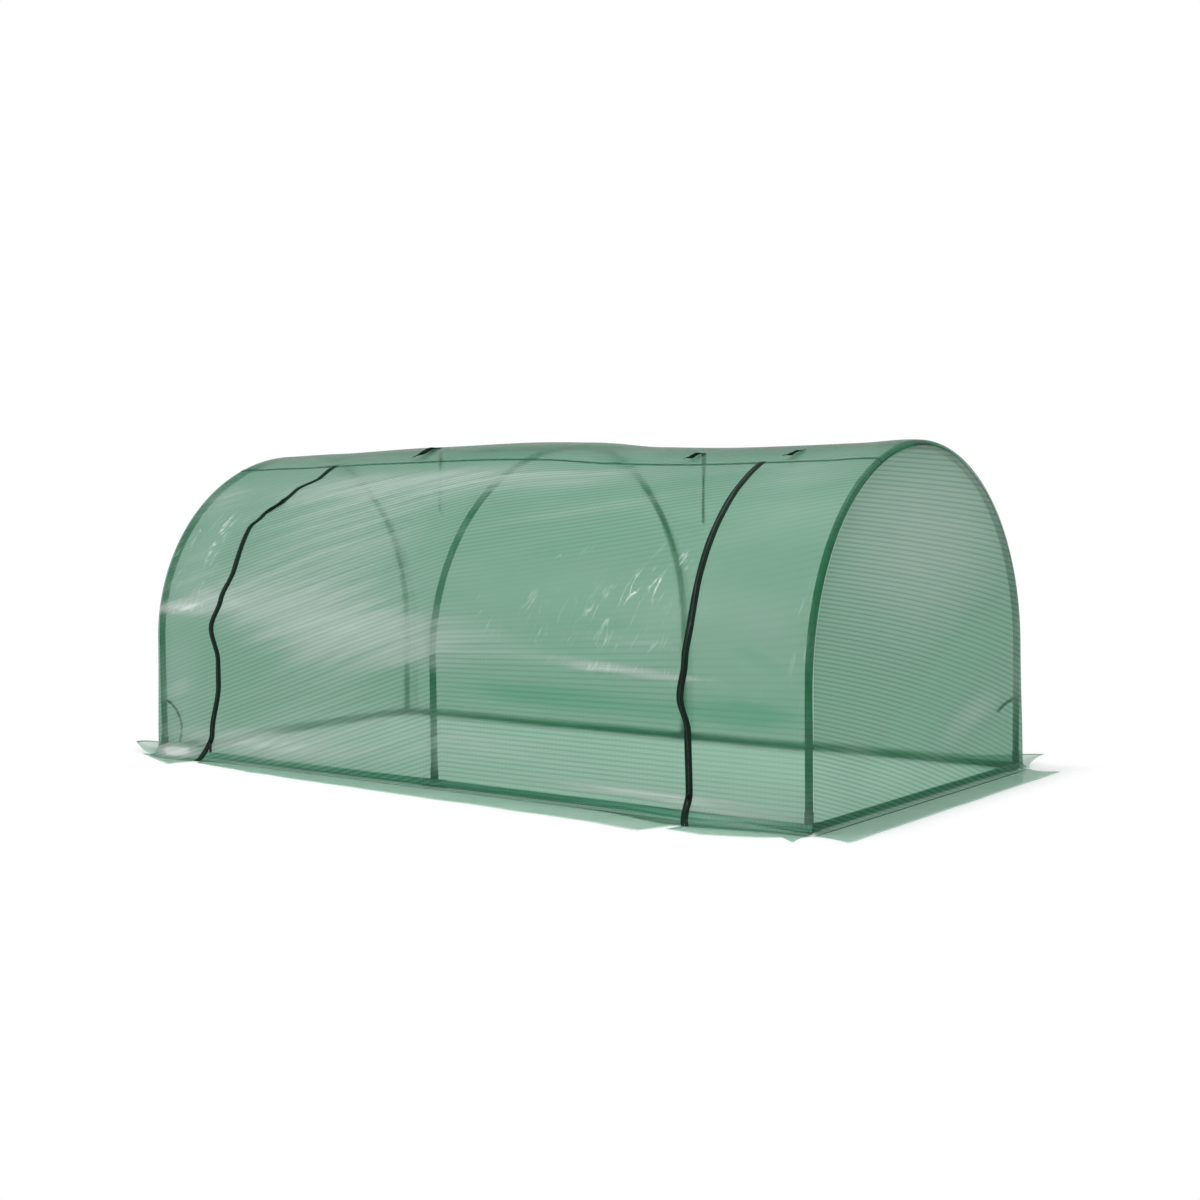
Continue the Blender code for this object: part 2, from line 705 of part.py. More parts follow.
def build_ties():
    """Straps that hold the rolled door: one on the roof, and some with a partner inside."""
    half = TIE_WIDTH / 2
    free = station_of(TIE_FREE_END_DEGREES)
    for name, tie in TIES.items():
        tie_x = tie["end"] * (LENGTH / 2 - tie["inset"])
        sewn = station_of(tie["degrees"])
        start = length_at(free)
        span = length_at(sewn) - start

        def middle(along, x=tie_x, lean=tie["lean"], start=start, span=span):
            return x + lean * (1 - (along - start) / span)

        strap = add_sheet(f"tie_{name}_outer", free, sewn, beside(middle, -half),
                          beside(middle, half), CLEARANCE + TIE_THICKNESS, TIE_THICKNESS, WEBBING)
        y, z = section_point(sewn, CLEARANCE + TIE_THICKNESS)
        move_origin(strap, (tie_x, y, z))
        if tie["inner"]:
            build_inner_tie(f"tie_{name}_inner", tie_x, sewn)


def build_inner_tie(name, x, sewn):
    """A strap hanging straight down inside; its top is round about the fold it swings on."""
    round_top = TIE_THICKNESS / 2
    outline = []
    steps = ROUND_STEPS
    for step in range(steps + 1):
        angle = math.pi * step / steps
        outline.append((round_top * math.cos(angle), round_top * math.sin(angle)))
    outline.append((-round_top, -INNER_TIE_LENGTH))
    outline.append((round_top, -INNER_TIE_LENGTH))
    strap = add_outline(name, [outline], TIE_WIDTH, WEBBING)
    y, z = section_point(sewn, -FILM - CLEARANCE - round_top)
    strap.location = (x, y, z)
    strap.rotation_euler = (math.pi / 2, 0, math.pi / 2)


def strip_mesh(name, path, width):
    """A flat strip of one width that follows a path in the XZ plane."""
    bm = bmesh.new()
    bmesh.ops.create_grid(bm, x_segments=1, y_segments=len(path) - 1, size=1.0)
    for vert in bm.verts:
        index = round((vert.co.y + 1) / 2 * (len(path) - 1))
        before = Vector(path[max(index - 1, 0)])
        after = Vector(path[min(index + 1, len(path) - 1)])
        along = (after - before).normalized()
        point = Vector(path[index]) + Vector((-along.y, along.x)) * vert.co.x * width / 2
        vert.co = (point.x, 0.0, point.y)
    return mesh_from(name, bm)


def build_frame_ties():
    """A loop of tape round a leg, and its tail, which lies against the leg's inner side."""
    ring_radius = TUBE_RADIUS + CLEARANCE + TIE_THICKNESS
    for name, tie in FRAME_TIES.items():
        side = SIDES[tie["side"]]
        leg = Vector((tie["end"] * HOOP_X, side * HOOP_RADIUS, 0.0))
        bm = bmesh.new()
        bmesh.ops.create_cone(
            bm, cap_ends=False, segments=SLEEVE_SIDES,
            radius1=ring_radius, radius2=ring_radius, depth=FRAME_TIE_WIDTH,
        )
        loop = add_object(f"frame_tie_{name}", mesh_from(f"frame_tie_{name}", bm), WEBBING)
        loop.location = leg + Vector((0.0, 0.0, tie["tail"][0][1]))
        add_solidify(loop, TIE_THICKNESS)
        path = [(-tie["end"] * along, height) for along, height in tie["tail"]]
        strip = strip_mesh(f"frame_tie_{name}_tail", path, FRAME_TIE_WIDTH)
        tail = add_object(strip.name, strip, None, True)
        tail_y = -side * (TUBE_RADIUS + CLEARANCE + TIE_THICKNESS / 2)
        tail.location = leg + Vector((0.0, tail_y, 0.0))
        add_solidify(tail, TIE_THICKNESS).offset = 0.0
        add_boolean(loop, tail, "UNION")


for hoop_name in HOOPS:
    build_hoop(hoop_name)
build_rails()
build_connectors()
build_fixed_cover()
build_fixed_zips()
build_door()
build_back_and_end_skirts()
build_front_skirts()
build_slider("left", zip_left)
build_slider("right", zip_right)
build_ties()
build_frame_ties()
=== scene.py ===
# Tunnel greenhouse, dressed: round steel tubes, moulded connectors, woven film with its slack,
# folds and flares, coil zips, webbing ties and the studio round them. Metres, +Z up.
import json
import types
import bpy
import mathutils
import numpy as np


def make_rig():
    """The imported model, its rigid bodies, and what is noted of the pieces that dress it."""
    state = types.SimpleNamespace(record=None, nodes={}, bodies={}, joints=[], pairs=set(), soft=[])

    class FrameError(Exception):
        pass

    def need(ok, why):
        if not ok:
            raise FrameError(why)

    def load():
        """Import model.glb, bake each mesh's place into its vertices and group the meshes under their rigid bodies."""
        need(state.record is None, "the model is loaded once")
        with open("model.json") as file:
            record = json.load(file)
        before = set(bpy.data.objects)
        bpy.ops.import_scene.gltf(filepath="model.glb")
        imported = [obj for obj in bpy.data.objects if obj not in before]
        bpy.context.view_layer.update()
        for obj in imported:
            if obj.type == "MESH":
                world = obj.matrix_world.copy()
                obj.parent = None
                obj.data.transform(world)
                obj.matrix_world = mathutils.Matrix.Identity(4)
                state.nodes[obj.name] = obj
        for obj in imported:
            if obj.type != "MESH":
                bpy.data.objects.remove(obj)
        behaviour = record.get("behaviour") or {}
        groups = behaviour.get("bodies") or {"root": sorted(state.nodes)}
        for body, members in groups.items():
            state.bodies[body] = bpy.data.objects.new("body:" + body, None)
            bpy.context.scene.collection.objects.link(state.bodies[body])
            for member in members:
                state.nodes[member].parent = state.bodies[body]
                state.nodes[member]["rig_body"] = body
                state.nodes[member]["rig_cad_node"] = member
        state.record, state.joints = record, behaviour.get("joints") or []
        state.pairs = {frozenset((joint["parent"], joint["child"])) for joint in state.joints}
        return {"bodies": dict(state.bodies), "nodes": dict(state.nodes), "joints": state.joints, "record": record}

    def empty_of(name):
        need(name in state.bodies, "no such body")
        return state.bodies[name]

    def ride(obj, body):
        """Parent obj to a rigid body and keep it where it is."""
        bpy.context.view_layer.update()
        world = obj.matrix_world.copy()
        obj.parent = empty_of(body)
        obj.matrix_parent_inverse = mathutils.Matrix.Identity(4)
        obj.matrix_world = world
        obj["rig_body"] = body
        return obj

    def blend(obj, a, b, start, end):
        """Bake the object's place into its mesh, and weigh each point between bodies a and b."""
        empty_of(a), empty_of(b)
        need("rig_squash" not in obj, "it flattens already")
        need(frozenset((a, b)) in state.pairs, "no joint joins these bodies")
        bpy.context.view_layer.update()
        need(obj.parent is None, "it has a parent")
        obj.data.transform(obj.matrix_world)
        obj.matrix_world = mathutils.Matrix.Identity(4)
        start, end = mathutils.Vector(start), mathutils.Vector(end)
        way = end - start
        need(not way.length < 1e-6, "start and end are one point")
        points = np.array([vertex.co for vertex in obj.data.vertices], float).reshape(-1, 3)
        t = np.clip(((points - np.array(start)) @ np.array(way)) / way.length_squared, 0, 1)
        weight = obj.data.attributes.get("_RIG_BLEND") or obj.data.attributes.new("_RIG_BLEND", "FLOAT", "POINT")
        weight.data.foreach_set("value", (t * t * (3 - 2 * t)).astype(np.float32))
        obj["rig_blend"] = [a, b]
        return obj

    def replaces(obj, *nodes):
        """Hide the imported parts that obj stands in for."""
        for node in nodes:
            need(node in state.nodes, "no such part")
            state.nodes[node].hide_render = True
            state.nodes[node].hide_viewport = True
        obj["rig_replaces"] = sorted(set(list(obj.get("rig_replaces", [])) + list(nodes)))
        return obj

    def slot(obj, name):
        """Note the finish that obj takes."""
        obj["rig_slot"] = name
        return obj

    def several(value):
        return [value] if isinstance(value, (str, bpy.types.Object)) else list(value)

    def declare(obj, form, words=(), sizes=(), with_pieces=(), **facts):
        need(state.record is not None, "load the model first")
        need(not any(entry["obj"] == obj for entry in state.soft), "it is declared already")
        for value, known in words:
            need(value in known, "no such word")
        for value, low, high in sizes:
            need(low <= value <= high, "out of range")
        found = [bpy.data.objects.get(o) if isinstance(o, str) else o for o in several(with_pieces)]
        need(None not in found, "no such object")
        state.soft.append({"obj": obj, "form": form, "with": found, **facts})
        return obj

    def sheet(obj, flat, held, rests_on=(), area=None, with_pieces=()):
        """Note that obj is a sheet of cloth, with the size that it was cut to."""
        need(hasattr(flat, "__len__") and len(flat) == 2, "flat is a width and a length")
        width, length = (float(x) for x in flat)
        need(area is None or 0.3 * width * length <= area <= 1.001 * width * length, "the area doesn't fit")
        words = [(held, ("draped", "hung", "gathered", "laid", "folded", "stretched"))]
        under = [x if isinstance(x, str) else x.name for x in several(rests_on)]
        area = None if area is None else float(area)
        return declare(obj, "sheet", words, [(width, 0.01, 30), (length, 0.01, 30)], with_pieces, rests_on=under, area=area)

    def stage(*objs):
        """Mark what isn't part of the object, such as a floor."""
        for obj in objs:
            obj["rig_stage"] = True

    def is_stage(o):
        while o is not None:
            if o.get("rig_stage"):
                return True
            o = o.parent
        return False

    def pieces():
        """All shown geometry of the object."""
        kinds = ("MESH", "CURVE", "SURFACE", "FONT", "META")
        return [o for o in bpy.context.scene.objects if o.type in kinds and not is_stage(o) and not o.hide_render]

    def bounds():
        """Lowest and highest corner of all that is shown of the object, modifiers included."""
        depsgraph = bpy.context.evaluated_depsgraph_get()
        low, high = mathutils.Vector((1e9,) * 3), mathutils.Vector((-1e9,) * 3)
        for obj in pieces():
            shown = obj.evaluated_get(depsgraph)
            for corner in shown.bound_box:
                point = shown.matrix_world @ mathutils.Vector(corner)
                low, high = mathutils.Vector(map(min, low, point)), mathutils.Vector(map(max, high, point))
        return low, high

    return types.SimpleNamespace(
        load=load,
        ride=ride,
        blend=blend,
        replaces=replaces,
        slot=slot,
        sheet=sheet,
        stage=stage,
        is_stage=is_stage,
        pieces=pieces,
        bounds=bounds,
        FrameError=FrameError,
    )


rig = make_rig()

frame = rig.load()

import json
import math

import bmesh
import bpy
from mathutils import Matrix, Vector, noise

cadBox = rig.bounds()

# The sizes that the pieces share, as the CAD has them
shape = {
    "halfLength": 1.0, "archRadius": 0.5, "legHeight": 0.3, "hoopRadius": 0.4887, "hoopX": 0.9887,
    "baseZ": 0.010, "middleSkew": 0.03, "doorTopDegrees": 67.5, "clearance": 0.0003,
}


def lengthAt(degrees):
    # how far up the sheet an angle of the arch is, from the door side's ground
    return shape["legHeight"] + shape["archRadius"] * math.radians(degrees)


ridgeZ = shape["legHeight"] + shape["hoopRadius"]
sheetLength = shape["archRadius"] * math.pi + 2 * shape["legHeight"]
doorTop = lengthAt(shape["doorTopDegrees"])
crest = sheetLength / 2
hoops = {"left": (-shape["hoopX"], 0.0), "middle": (0.0, shape["middleSkew"]),
         "right": (shape["hoopX"], 0.0)}
sides = {"front": -1, "back": 1}
ends = {"left": -1, "right": 1}

# How the zips run: their place, how much they lean out with the film's foot, which side of them
# the door is on, how far their ribbon turns and is pinched over, and how they wander, as pairs of
# a distance up the sheet and the sideways shift there
zips = {
    "left": {"x": -0.76, "lean": 0.30, "doorSide": 1, "turn": 4.0, "pinch": 62.0, "wander": [
        (0.0, -0.060), (0.07, -0.026), (0.20, 0.0), (0.26, 0.0), (0.345, -0.025), (0.42, 0.0),
        (0.50, 0.023), (0.627, 0.018), (0.667, 0.039), (0.712, 0.081), (0.761, 0.091),
        (0.817, 0.136), (0.885, 0.132)]},
    "right": {"x": 0.70, "lean": 0.72, "doorSide": -1, "turn": 0.0, "pinch": 0.0, "wander": [
        (0.0, -0.012), (0.06, 0.003), (0.19, 0.0), (0.26, -0.019), (0.345, -0.005), (0.42, 0.0),
        (0.885, 0.0)]},
}


def within(value, low, high):
    return min(high, max(low, value))


def ease(part):
    part = within(part, 0.0, 1.0)
    return part * part * (3 - 2 * part)


def easeBetween(points, along):
    for (start, a), (end, b) in zip(points, points[1:]):
        if along <= end:
            return a + (b - a) * ease((along - start) / (end - start))
    return points[-1][1]


def hump(value, middle, width):
    return math.exp(-((value - middle) / width) ** 2)


def pieceName(node):
    # a piece is named as the CAD node that it replaces
    first, *others = node.split("_")
    return first + "".join(word.capitalize() for word in others)


def linkObject(name, data):
    made = bpy.data.objects.new(name, data)
    bpy.context.scene.collection.objects.link(made)
    return made


# Camera

cameraSettings = {"place": (2.95406, -3.78442, 0.75185), "target": (0.0934, 0.0, 0.4152),
                  "roll": -0.5728, "lens": 57.0, "sensor": 36.0}


def placeCamera(settings):
    data = bpy.data.cameras.new("camera")
    data.lens = settings["lens"]
    data.sensor_width = settings["sensor"]
    camera = linkObject("camera", data)
    place = Vector(settings["place"])
    ahead = Vector(settings["target"]) - place
    turn = ahead.to_track_quat("-Z", "Y").to_matrix().to_4x4()
    roll = Matrix.Rotation(math.radians(settings["roll"]), 4, "Z")
    camera.matrix_world = Matrix.Translation(place) @ turn @ roll
    bpy.context.scene.camera = camera


placeCamera(cameraSettings)
bpy.context.scene.view_settings.view_transform = "Standard"
print("camera placed")


# Materials

smooth = {"interpolation_type": "SMOOTHSTEP"}
times, plus, minus, most, absolute, zigzag = [{"operation": name} for name in (
    "MULTIPLY", "ADD", "SUBTRACT", "MAXIMUM", "ABSOLUTE", "PINGPONG")]
white = (1, 1, 1, 1)


def linearColour(code):
    parts = [int(code[i:i + 2], 16) / 255 for i in (1, 3, 5)]
    return [p / 12.92 if p <= 0.04045 else ((p + 0.055) / 1.055) ** 2.4 for p in parts] + [1.0]


def addNode(tree, kind, inputs=(), out=0, **settings):
    # one node with its settings; an input is a value or the socket to link, by place or by name;
    # it gives back one output, or all of them where out is None
    node = tree.nodes.new("ShaderNode" + kind)
    for key, value in settings.items():
        setattr(node, key, value)
    for key, value in inputs.items() if isinstance(inputs, dict) else enumerate(inputs):
        if isinstance(value, bpy.types.NodeSocket):
            tree.links.new(value, node.inputs[key])
        else:
            node.inputs[key].default_value = value
    return node.outputs if out is None else node.outputs[out]


def startMaterial(name):
    material = bpy.data.materials.new(name)
    material.use_nodes = True
    material.node_tree.nodes.clear()
    return material, material.node_tree


def endMaterial(tree, shader):
    addNode(tree, "OutputMaterial", {"Surface": shader}, None)


def threadLines(tree, value, pitch, half):
    # 1 on a thread, 0 between threads, from a coordinate in metres
    near = addNode(tree, "Math", [value, pitch / 2], **zigzag)
    return addNode(tree, "MapRange", [near, half * 0.6, half * 1.4, 1.0, 0.0], **smooth)


def layeredColour(tree, base, *layers):
    # each colour is laid over those before it, by its share
    colour = linearColour(base)
    for share, code in layers:
        colour = addNode(tree, "Mix", {0: share, 6: colour, 7: linearColour(code)}, 2,
                         data_type="RGBA")
    return colour


def stretchedNoise(tree, source, scale, detail, roughness, distortion):
    stretched = addNode(tree, "Mapping", {"Vector": source, "Scale": scale})
    return addNode(tree, "TexNoise", {"Vector": stretched, "Scale": 1.0, "Detail": detail,
                                      "Roughness": roughness, "Distortion": distortion})


# The film's grids are in metres: threads 11 mm apart, drawn coarse so that they show. A noise is
# its stretch, detail, roughness and distortion.
filmSettings = {
    # the colours include painted light: a pale and a milky painted sheen, a white for painted glints, and a deeper
    # tint for painted shade
    "pale": "#93B3A3", "deep": "#5C9C80", "thread": "#33705A", "crease": "#F2F8F5",
    "milk": "#BECBC4", "hem": "#5DB08E", "rim": "#2B5944", "tint": "#C9E0D4", "deepTint": "#A3D2BB",
    "pitch": 0.011, "threadHalf": 0.0021, "columnShare": 0.25, "calmShare": 0.15,
    "slack": ((2.2, 9.0, 1.0), 4.0, 0.6, 0.4), "streaks": ((2.6, 62.0, 1.0), 3.0, 0.55, 0.3),
    "bends": ((8.0, 34.0, 1.0), 3.0, 0.5, 0.35), "breaks": ((20.0, 20.0, 1.0), 2.0, 0.5, 0.0),
    "bendLean": -58.0, "bendWide": (0.004, 0.024), "breakRange": (0.40, 0.56),
    "cloudRange": (0.36, 0.66), "streakRange": (0.32, 0.66), "streakLess": 0.45, "streakMore": 0.25,
    "grazingPower": 4.0, "underMilk": 0.35, "slackRelief": 4.0, "bendRelief": 3.0,
    "threadRelief": 0.12, "cover": 0.26, "threadCover": 0.20, "cloudCover": 0.07,
    "milkCover": 0.56, "hemCover": 0.50, "grazingCover": 0.80, "whiteCover": 0.85,
    "mostCover": 0.95, "relief": 0.0012, "reliefStrength": 0.8, "backLit": 0.45,
    "gloss": 0.24, "shine": 0.37, "ior": 1.5, "blur": 0.80, "blurIor": 1.02, "blurRoughness": 0.35,
}
# the film laid on the ground as skirts: a copy painted lighter and clearer, which makes up for the shade on the floor
# under it
laidLighterSettings = {**filmSettings, "tint": "#E2F1E9", "cover": 0.16, "pale": "#A2C4B3",
                "deep": "#6FAE92", "blur": 0.3}
paintLayers = ("crease", "haze", "hem", "calm")


def creaseGlintLines(tree, settings, grid, weight):
    # painted glints along the sharp edges of a crumpled laminate: bright bent lines, about 60 mm long and 3 mm wide,
    # that lean over to the right and are broken up by a second noise
    lean = math.radians(settings["bendLean"])
    turned = addNode(tree, "VectorRotate", {"Vector": grid, "Angle": lean}, rotation_type="Z_AXIS")
    bends = stretchedNoise(tree, turned, *settings["bends"])
    away = addNode(tree, "Math", [bends, 0.5], **minus)
    near = addNode(tree, "Math", [away], **absolute)
    line = addNode(tree, "MapRange", [near, *settings["bendWide"], 1.0, 0.0], **smooth)
    breaks = stretchedNoise(tree, grid, *settings["breaks"])
    broken = addNode(tree, "MapRange", [breaks, *settings["breakRange"]], **smooth)
    for share in (broken, weight):
        line = addNode(tree, "Math", [line, share], **times)
    return line, bends


def filmTone(tree, settings, grid, haze, threads, slackAndSheen):
    # the slack waves' painted sheen and the strokes' painted light (painted sheen, painted highlight and painted
    # shade), and how much of the weave shows through them
    slack = stretchedNoise(tree, grid, *settings["slack"])
    # the slack waves' painted sheen: paler where the slack noise is high
    slackSheen = addNode(tree, "MapRange", [slack, *settings["cloudRange"]], **smooth)
    slackSheen = addNode(tree, "Math", [slackSheen, slackAndSheen], **times)
    streaks = addNode(tree, "MapRange", [
        stretchedNoise(tree, grid, *settings["streaks"]), *settings["streakRange"],
        1 - settings["streakLess"] * slackAndSheen, 1 + settings["streakMore"] * slackAndSheen], **smooth)
    haze = addNode(tree, "Math", [haze, streaks], **times)
    # painted sheen where the strokes lie above zero, and painted highlight above one
    milk, bright = [addNode(tree, "MapRange", [haze, low, low + 1.0], **smooth)
                    for low in (0.0, 1.0)]
    # painted shade where they lie below zero: a deeper green, clearer tint
    paintedShadeWeight = addNode(tree, "Math", [haze, -1.0], **times)
    depth = addNode(tree, "MapRange", [paintedShadeWeight, 0.0, 1.0], **smooth)
    shown = addNode(tree, "MapRange", [milk, 0.0, 1.0, 1.0, settings["underMilk"]], **smooth)
    drawn = addNode(tree, "Math", [threads, shown], **times)
    return slack, slackSheen, milk, bright, depth, drawn


def filmMaterial(name, settings, slackAndSheen, threadShare):
    # Woven polyethylene film: clear green film laminated on a grid of darker green tapes, so it is see-through between
    # the tapes, blurs what lies well behind it, takes a painted sheen where it is slack and a painted sheen, highlight
    # and shade where the strokes lay them, is shiny where it faces a lamp, has painted white glints along its creases
    # and is deep green where it is doubled.
    material, tree = startMaterial(name)
    grid = addNode(tree, "UVMap", uv_map="filmGrid")
    split = addNode(tree, "SeparateXYZ", [grid], None)
    weight, haze, hem, calm = [addNode(tree, "Attribute", out="Fac", attribute_name=layer)
                               for layer in paintLayers]
    rows, columns = [threadLines(tree, split[axis], settings["pitch"], settings["threadHalf"])
                     for axis in "YX"]
    columns = addNode(tree, "Math", [columns, settings["columnShare"]], **times)
    threads = addNode(tree, "Math", [rows, columns], **most)
    plain = addNode(tree, "MapRange", [calm, 0.0, 1.0, threadShare,
                                       settings["calmShare"] * threadShare], **smooth)
    threads = addNode(tree, "Math", [threads, plain], **times)
    slack, slackSheen, milk, bright, depth, drawn = filmTone(tree, settings, grid, haze, threads, slackAndSheen)
    # painted glints along the creases, joined by the strokes' painted highlight
    creaseGlints, bends = creaseGlintLines(tree, settings, grid, weight)
    creaseGlints = addNode(tree, "Math", [creaseGlints, bright], **most)
    # seen aslant, the light crosses more of the film
    slant = addNode(tree, "LayerWeight", {"Blend": 0.5}, "Facing")
    grazing = addNode(tree, "Math", [slant, settings["grazingPower"]], operation="POWER")
    # over the film's own deep green: the slack waves' painted sheen, the hem, the strokes' painted sheen, the threads,
    # the grazing rim and the painted glints
    tone = layeredColour(tree, settings["deep"], (slackSheen, settings["pale"]), (hem, settings["hem"]),
                         (milk, settings["milk"]), (drawn, settings["thread"]),
                         (grazing, settings["rim"]), (creaseGlints, settings["crease"]))
    # relief of the slack waves, of the creases and of the threads
    relief = addNode(tree, "Math", [slack, settings["slackRelief"] * slackAndSheen], **times)
    sharp = addNode(tree, "Math", [weight, settings["bendRelief"]], **times)
    for height, share in ((bends, sharp), (threads, settings["threadRelief"])):
        part = addNode(tree, "Math", [height, share], **times)
        relief = addNode(tree, "Math", [relief, part], **plus)
    normal = addNode(tree, "Bump", {"Height": relief, "Distance": settings["relief"],
                                    "Strength": settings["reliefStrength"]})
    face = addNode(tree, "BsdfPrincipled", {
        "Base Color": tone, "Roughness": settings["gloss"], "IOR": settings["ior"],
        "Specular IOR Level": settings["shine"], "Normal": normal})
    glow = addNode(tree, "BsdfTranslucent", {"Color": tone, "Normal": normal})
    body = addNode(tree, "MixShader", [settings["backLit"], face, glow])
    # the painted shade turns the see-through tint a deeper green
    tint = layeredColour(tree, settings["tint"], (depth, settings["deepTint"]))
    clear = addNode(tree, "BsdfTransparent", {"Color": tint})
    blurred = addNode(tree, "BsdfRefraction", {
        "Color": tint, "Roughness": settings["blurRoughness"], "IOR": settings["blurIor"]})
    through = addNode(tree, "MixShader", [settings["blur"], clear, blurred])
    cover = addNode(tree, "Math", [grazing, settings["grazingCover"]], **times)
    for share, weighed in ((drawn, "threadCover"), (slackSheen, "cloudCover"), (milk, "milkCover"),
                           (hem, "hemCover")):
        part = addNode(tree, "Math", [share, settings[weighed]], **times)
        cover = addNode(tree, "Math", [cover, part], **plus)
    cover = addNode(tree, "Math", [cover, settings["cover"]], **plus)
    # the painted glints hide what lies behind them
    whiteCover = addNode(tree, "Math", [creaseGlints, settings["whiteCover"]], **times)
    cover = addNode(tree, "Math", [cover, whiteCover], **most)
    cover = addNode(tree, "Math", [cover, settings["mostCover"]], operation="MINIMUM")
    endMaterial(tree, addNode(tree, "MixShader", [cover, through, body]))
    return material


def filmInnerMaterial():
    # The film's inner face: clear, because its outer face already takes all of the light
    material, tree = startMaterial("clear_film_inner_face")
    endMaterial(tree, addNode(tree, "BsdfTransparent", {"Color": white}))
    return material


# The solid pieces' finishes. Patches are a noise of that scale and detail that turns dark into
# light, over a range where one is given, and sets the roughness; the grain is the relief's scale,
# detail, depth and strength.
finishes = {
    # powder-coated steel tube: an even dark green skin with a fine orange peel and a satin shine
    "powder_coated_steel": {
        "dark": "#08704A", "light": "#118558", "patches": (14.0, 4.0), "range": (0.35, 0.7),
        "roughness": (0.2, 0.8, 0.34, 0.5), "grain": (900.0, 2.0, 0.00006, 0.6),
        "face": {"IOR": 1.5, "Specular IOR Level": 0.3}},
    # moulded polypropylene: matt, faintly grained by the mould, a shade darker than the tubes
    "moulded_polypropylene": {
        "dark": "#0E3B2A", "light": "#144A36", "patches": (35.0, 3.0),
        "roughness": (0.3, 0.7, 0.48, 0.6), "grain": (1500.0, 2.0, 0.00008, 0.5),
        "face": {"IOR": 1.49}},
    # nylon coil teeth: near-black plastic with a slight shine
    "nylon_coil": {
        "dark": "#030605", "light": "#08120E", "patches": (60.0, 3.0),
        "roughness": (0.3, 0.7, 0.32, 0.5), "face": {"IOR": 1.53}},
    # stove-enamelled zinc: black and glossy, rubbed to a duller dark grey here and there
    "black_enamelled_zinc": {
        "dark": "#111312", "light": "#3A3F3D", "patches": (240.0, 4.0), "range": (0.60, 0.74),
        "roughness": (0.3, 0.7, 0.22, 0.42), "grain": (240.0, 4.0, 0.00005, 0.5),
        "face": {"Metallic": 0.6}},
}
noiseRoughness = 0.55


def solidMaterial(name):
    settings = finishes[name]
    material, tree = startMaterial(name)
    place = addNode(tree, "TexCoord", out="Object")
    scale, detail = settings["patches"]
    patches = addNode(tree, "TexNoise", {"Vector": place, "Scale": scale, "Detail": detail,
                                         "Roughness": noiseRoughness})
    share = patches
    if "range" in settings:
        share = addNode(tree, "MapRange", [patches, *settings["range"]], **smooth)
    looks = {**settings["face"],
             "Base Color": layeredColour(tree, settings["dark"], (share, settings["light"])),
             "Roughness": addNode(tree, "MapRange", [patches, *settings["roughness"]], **smooth)}
    if "grain" in settings:
        scale, detail, depth, strength = settings["grain"]
        grain = addNode(tree, "TexNoise", {"Vector": place, "Scale": scale, "Detail": detail,
                                           "Roughness": noiseRoughness})
        looks["Normal"] = addNode(tree, "Bump", {"Height": grain, "Distance": depth,
                                                 "Strength": strength})
    endMaterial(tree, addNode(tree, "BsdfPrincipled", looks))
    return material


ribbonSettings = {"herringbone": 0.0022, "yarnShare": 0.24, "yarnWeight": 0.8, "fuzz": 700.0,
                  "shine": 0.15, "relief": 0.0002, "reliefStrength": 0.7}


def ribbonMaterial(name, dark, light, pitch, roughness):
    # Woven polymer yarn: a herringbone of fine yarns with a soft sheen; the yarns are drawn a
    # little coarse so that they show from near by
    settings = ribbonSettings
    material, tree = startMaterial(name)
    grid = addNode(tree, "UVMap", uv_map="filmGrid")
    split = addNode(tree, "SeparateXYZ", [grid], None)
    across = addNode(tree, "Math", [split["X"], settings["herringbone"]], **zigzag)
    slant = addNode(tree, "Math", [split["Y"], across], **plus)
    yarn = threadLines(tree, slant, pitch, pitch * settings["yarnShare"])
    share = addNode(tree, "Math", [yarn, settings["yarnWeight"]], **times)
    fuzz = addNode(tree, "TexNoise", {"Vector": grid, "Scale": settings["fuzz"], "Detail": 3.0,
                                      "Roughness": noiseRoughness})
    endMaterial(tree, addNode(tree, "BsdfPrincipled", {
        "Base Color": layeredColour(tree, dark, (share, light)), "Roughness": roughness,
        "Specular IOR Level": settings["shine"],
        "Normal": addNode(tree, "Bump", {
            "Height": addNode(tree, "Math", [yarn, fuzz], **plus),
            "Distance": settings["relief"], "Strength": settings["reliefStrength"]})}))
    return material


filmFace = filmMaterial("woven_green_film", filmSettings, 0.6, 0.6)
filmTaut = filmMaterial("woven_green_film_taut", filmSettings, 0.15, 0.75)
filmLaidLighter = filmMaterial("woven_green_film_laid", laidLighterSettings, 0.5, 0.3)
filmInner = filmInnerMaterial()
tubeSteel = solidMaterial("powder_coated_steel")
mouldedPlastic = solidMaterial("moulded_polypropylene")
zipRibbon = ribbonMaterial("zip_tape_polyester", "#051C12", "#0C3423", 0.0009, 0.78)
tieRibbon = ribbonMaterial("tie_webbing_polypropylene", "#12201B", "#22352E", 0.0014, 0.7)
coilPlastic = solidMaterial("nylon_coil")
enamel = solidMaterial("black_enamelled_zinc")
print("materials made")


def meshObject(name, bm):
    mesh = bpy.data.meshes.new(name)
    bm.to_mesh(mesh)
    bm.free()
    return linkObject(name, mesh)


def addPiece(name, bm, materials, nodes, slotName, body="frame_and_cover", smoothFaces=True):
    for face in bm.faces:
        face.smooth = smoothFaces
    piece = meshObject(name, bm)
    for material in materials:
        piece.data.materials.append(material)
    if body:
        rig.ride(piece, body)
    if nodes:
        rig.replaces(piece, *nodes)
    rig.slot(piece, slotName)
    return piece


def thicken(piece, wall):
    # inwards, so that the outside keeps its place
    solid = piece.modifiers.new("wall", "SOLIDIFY")
    solid.thickness = wall
    solid.offset = -1.0
    return solid


# Steel tubes

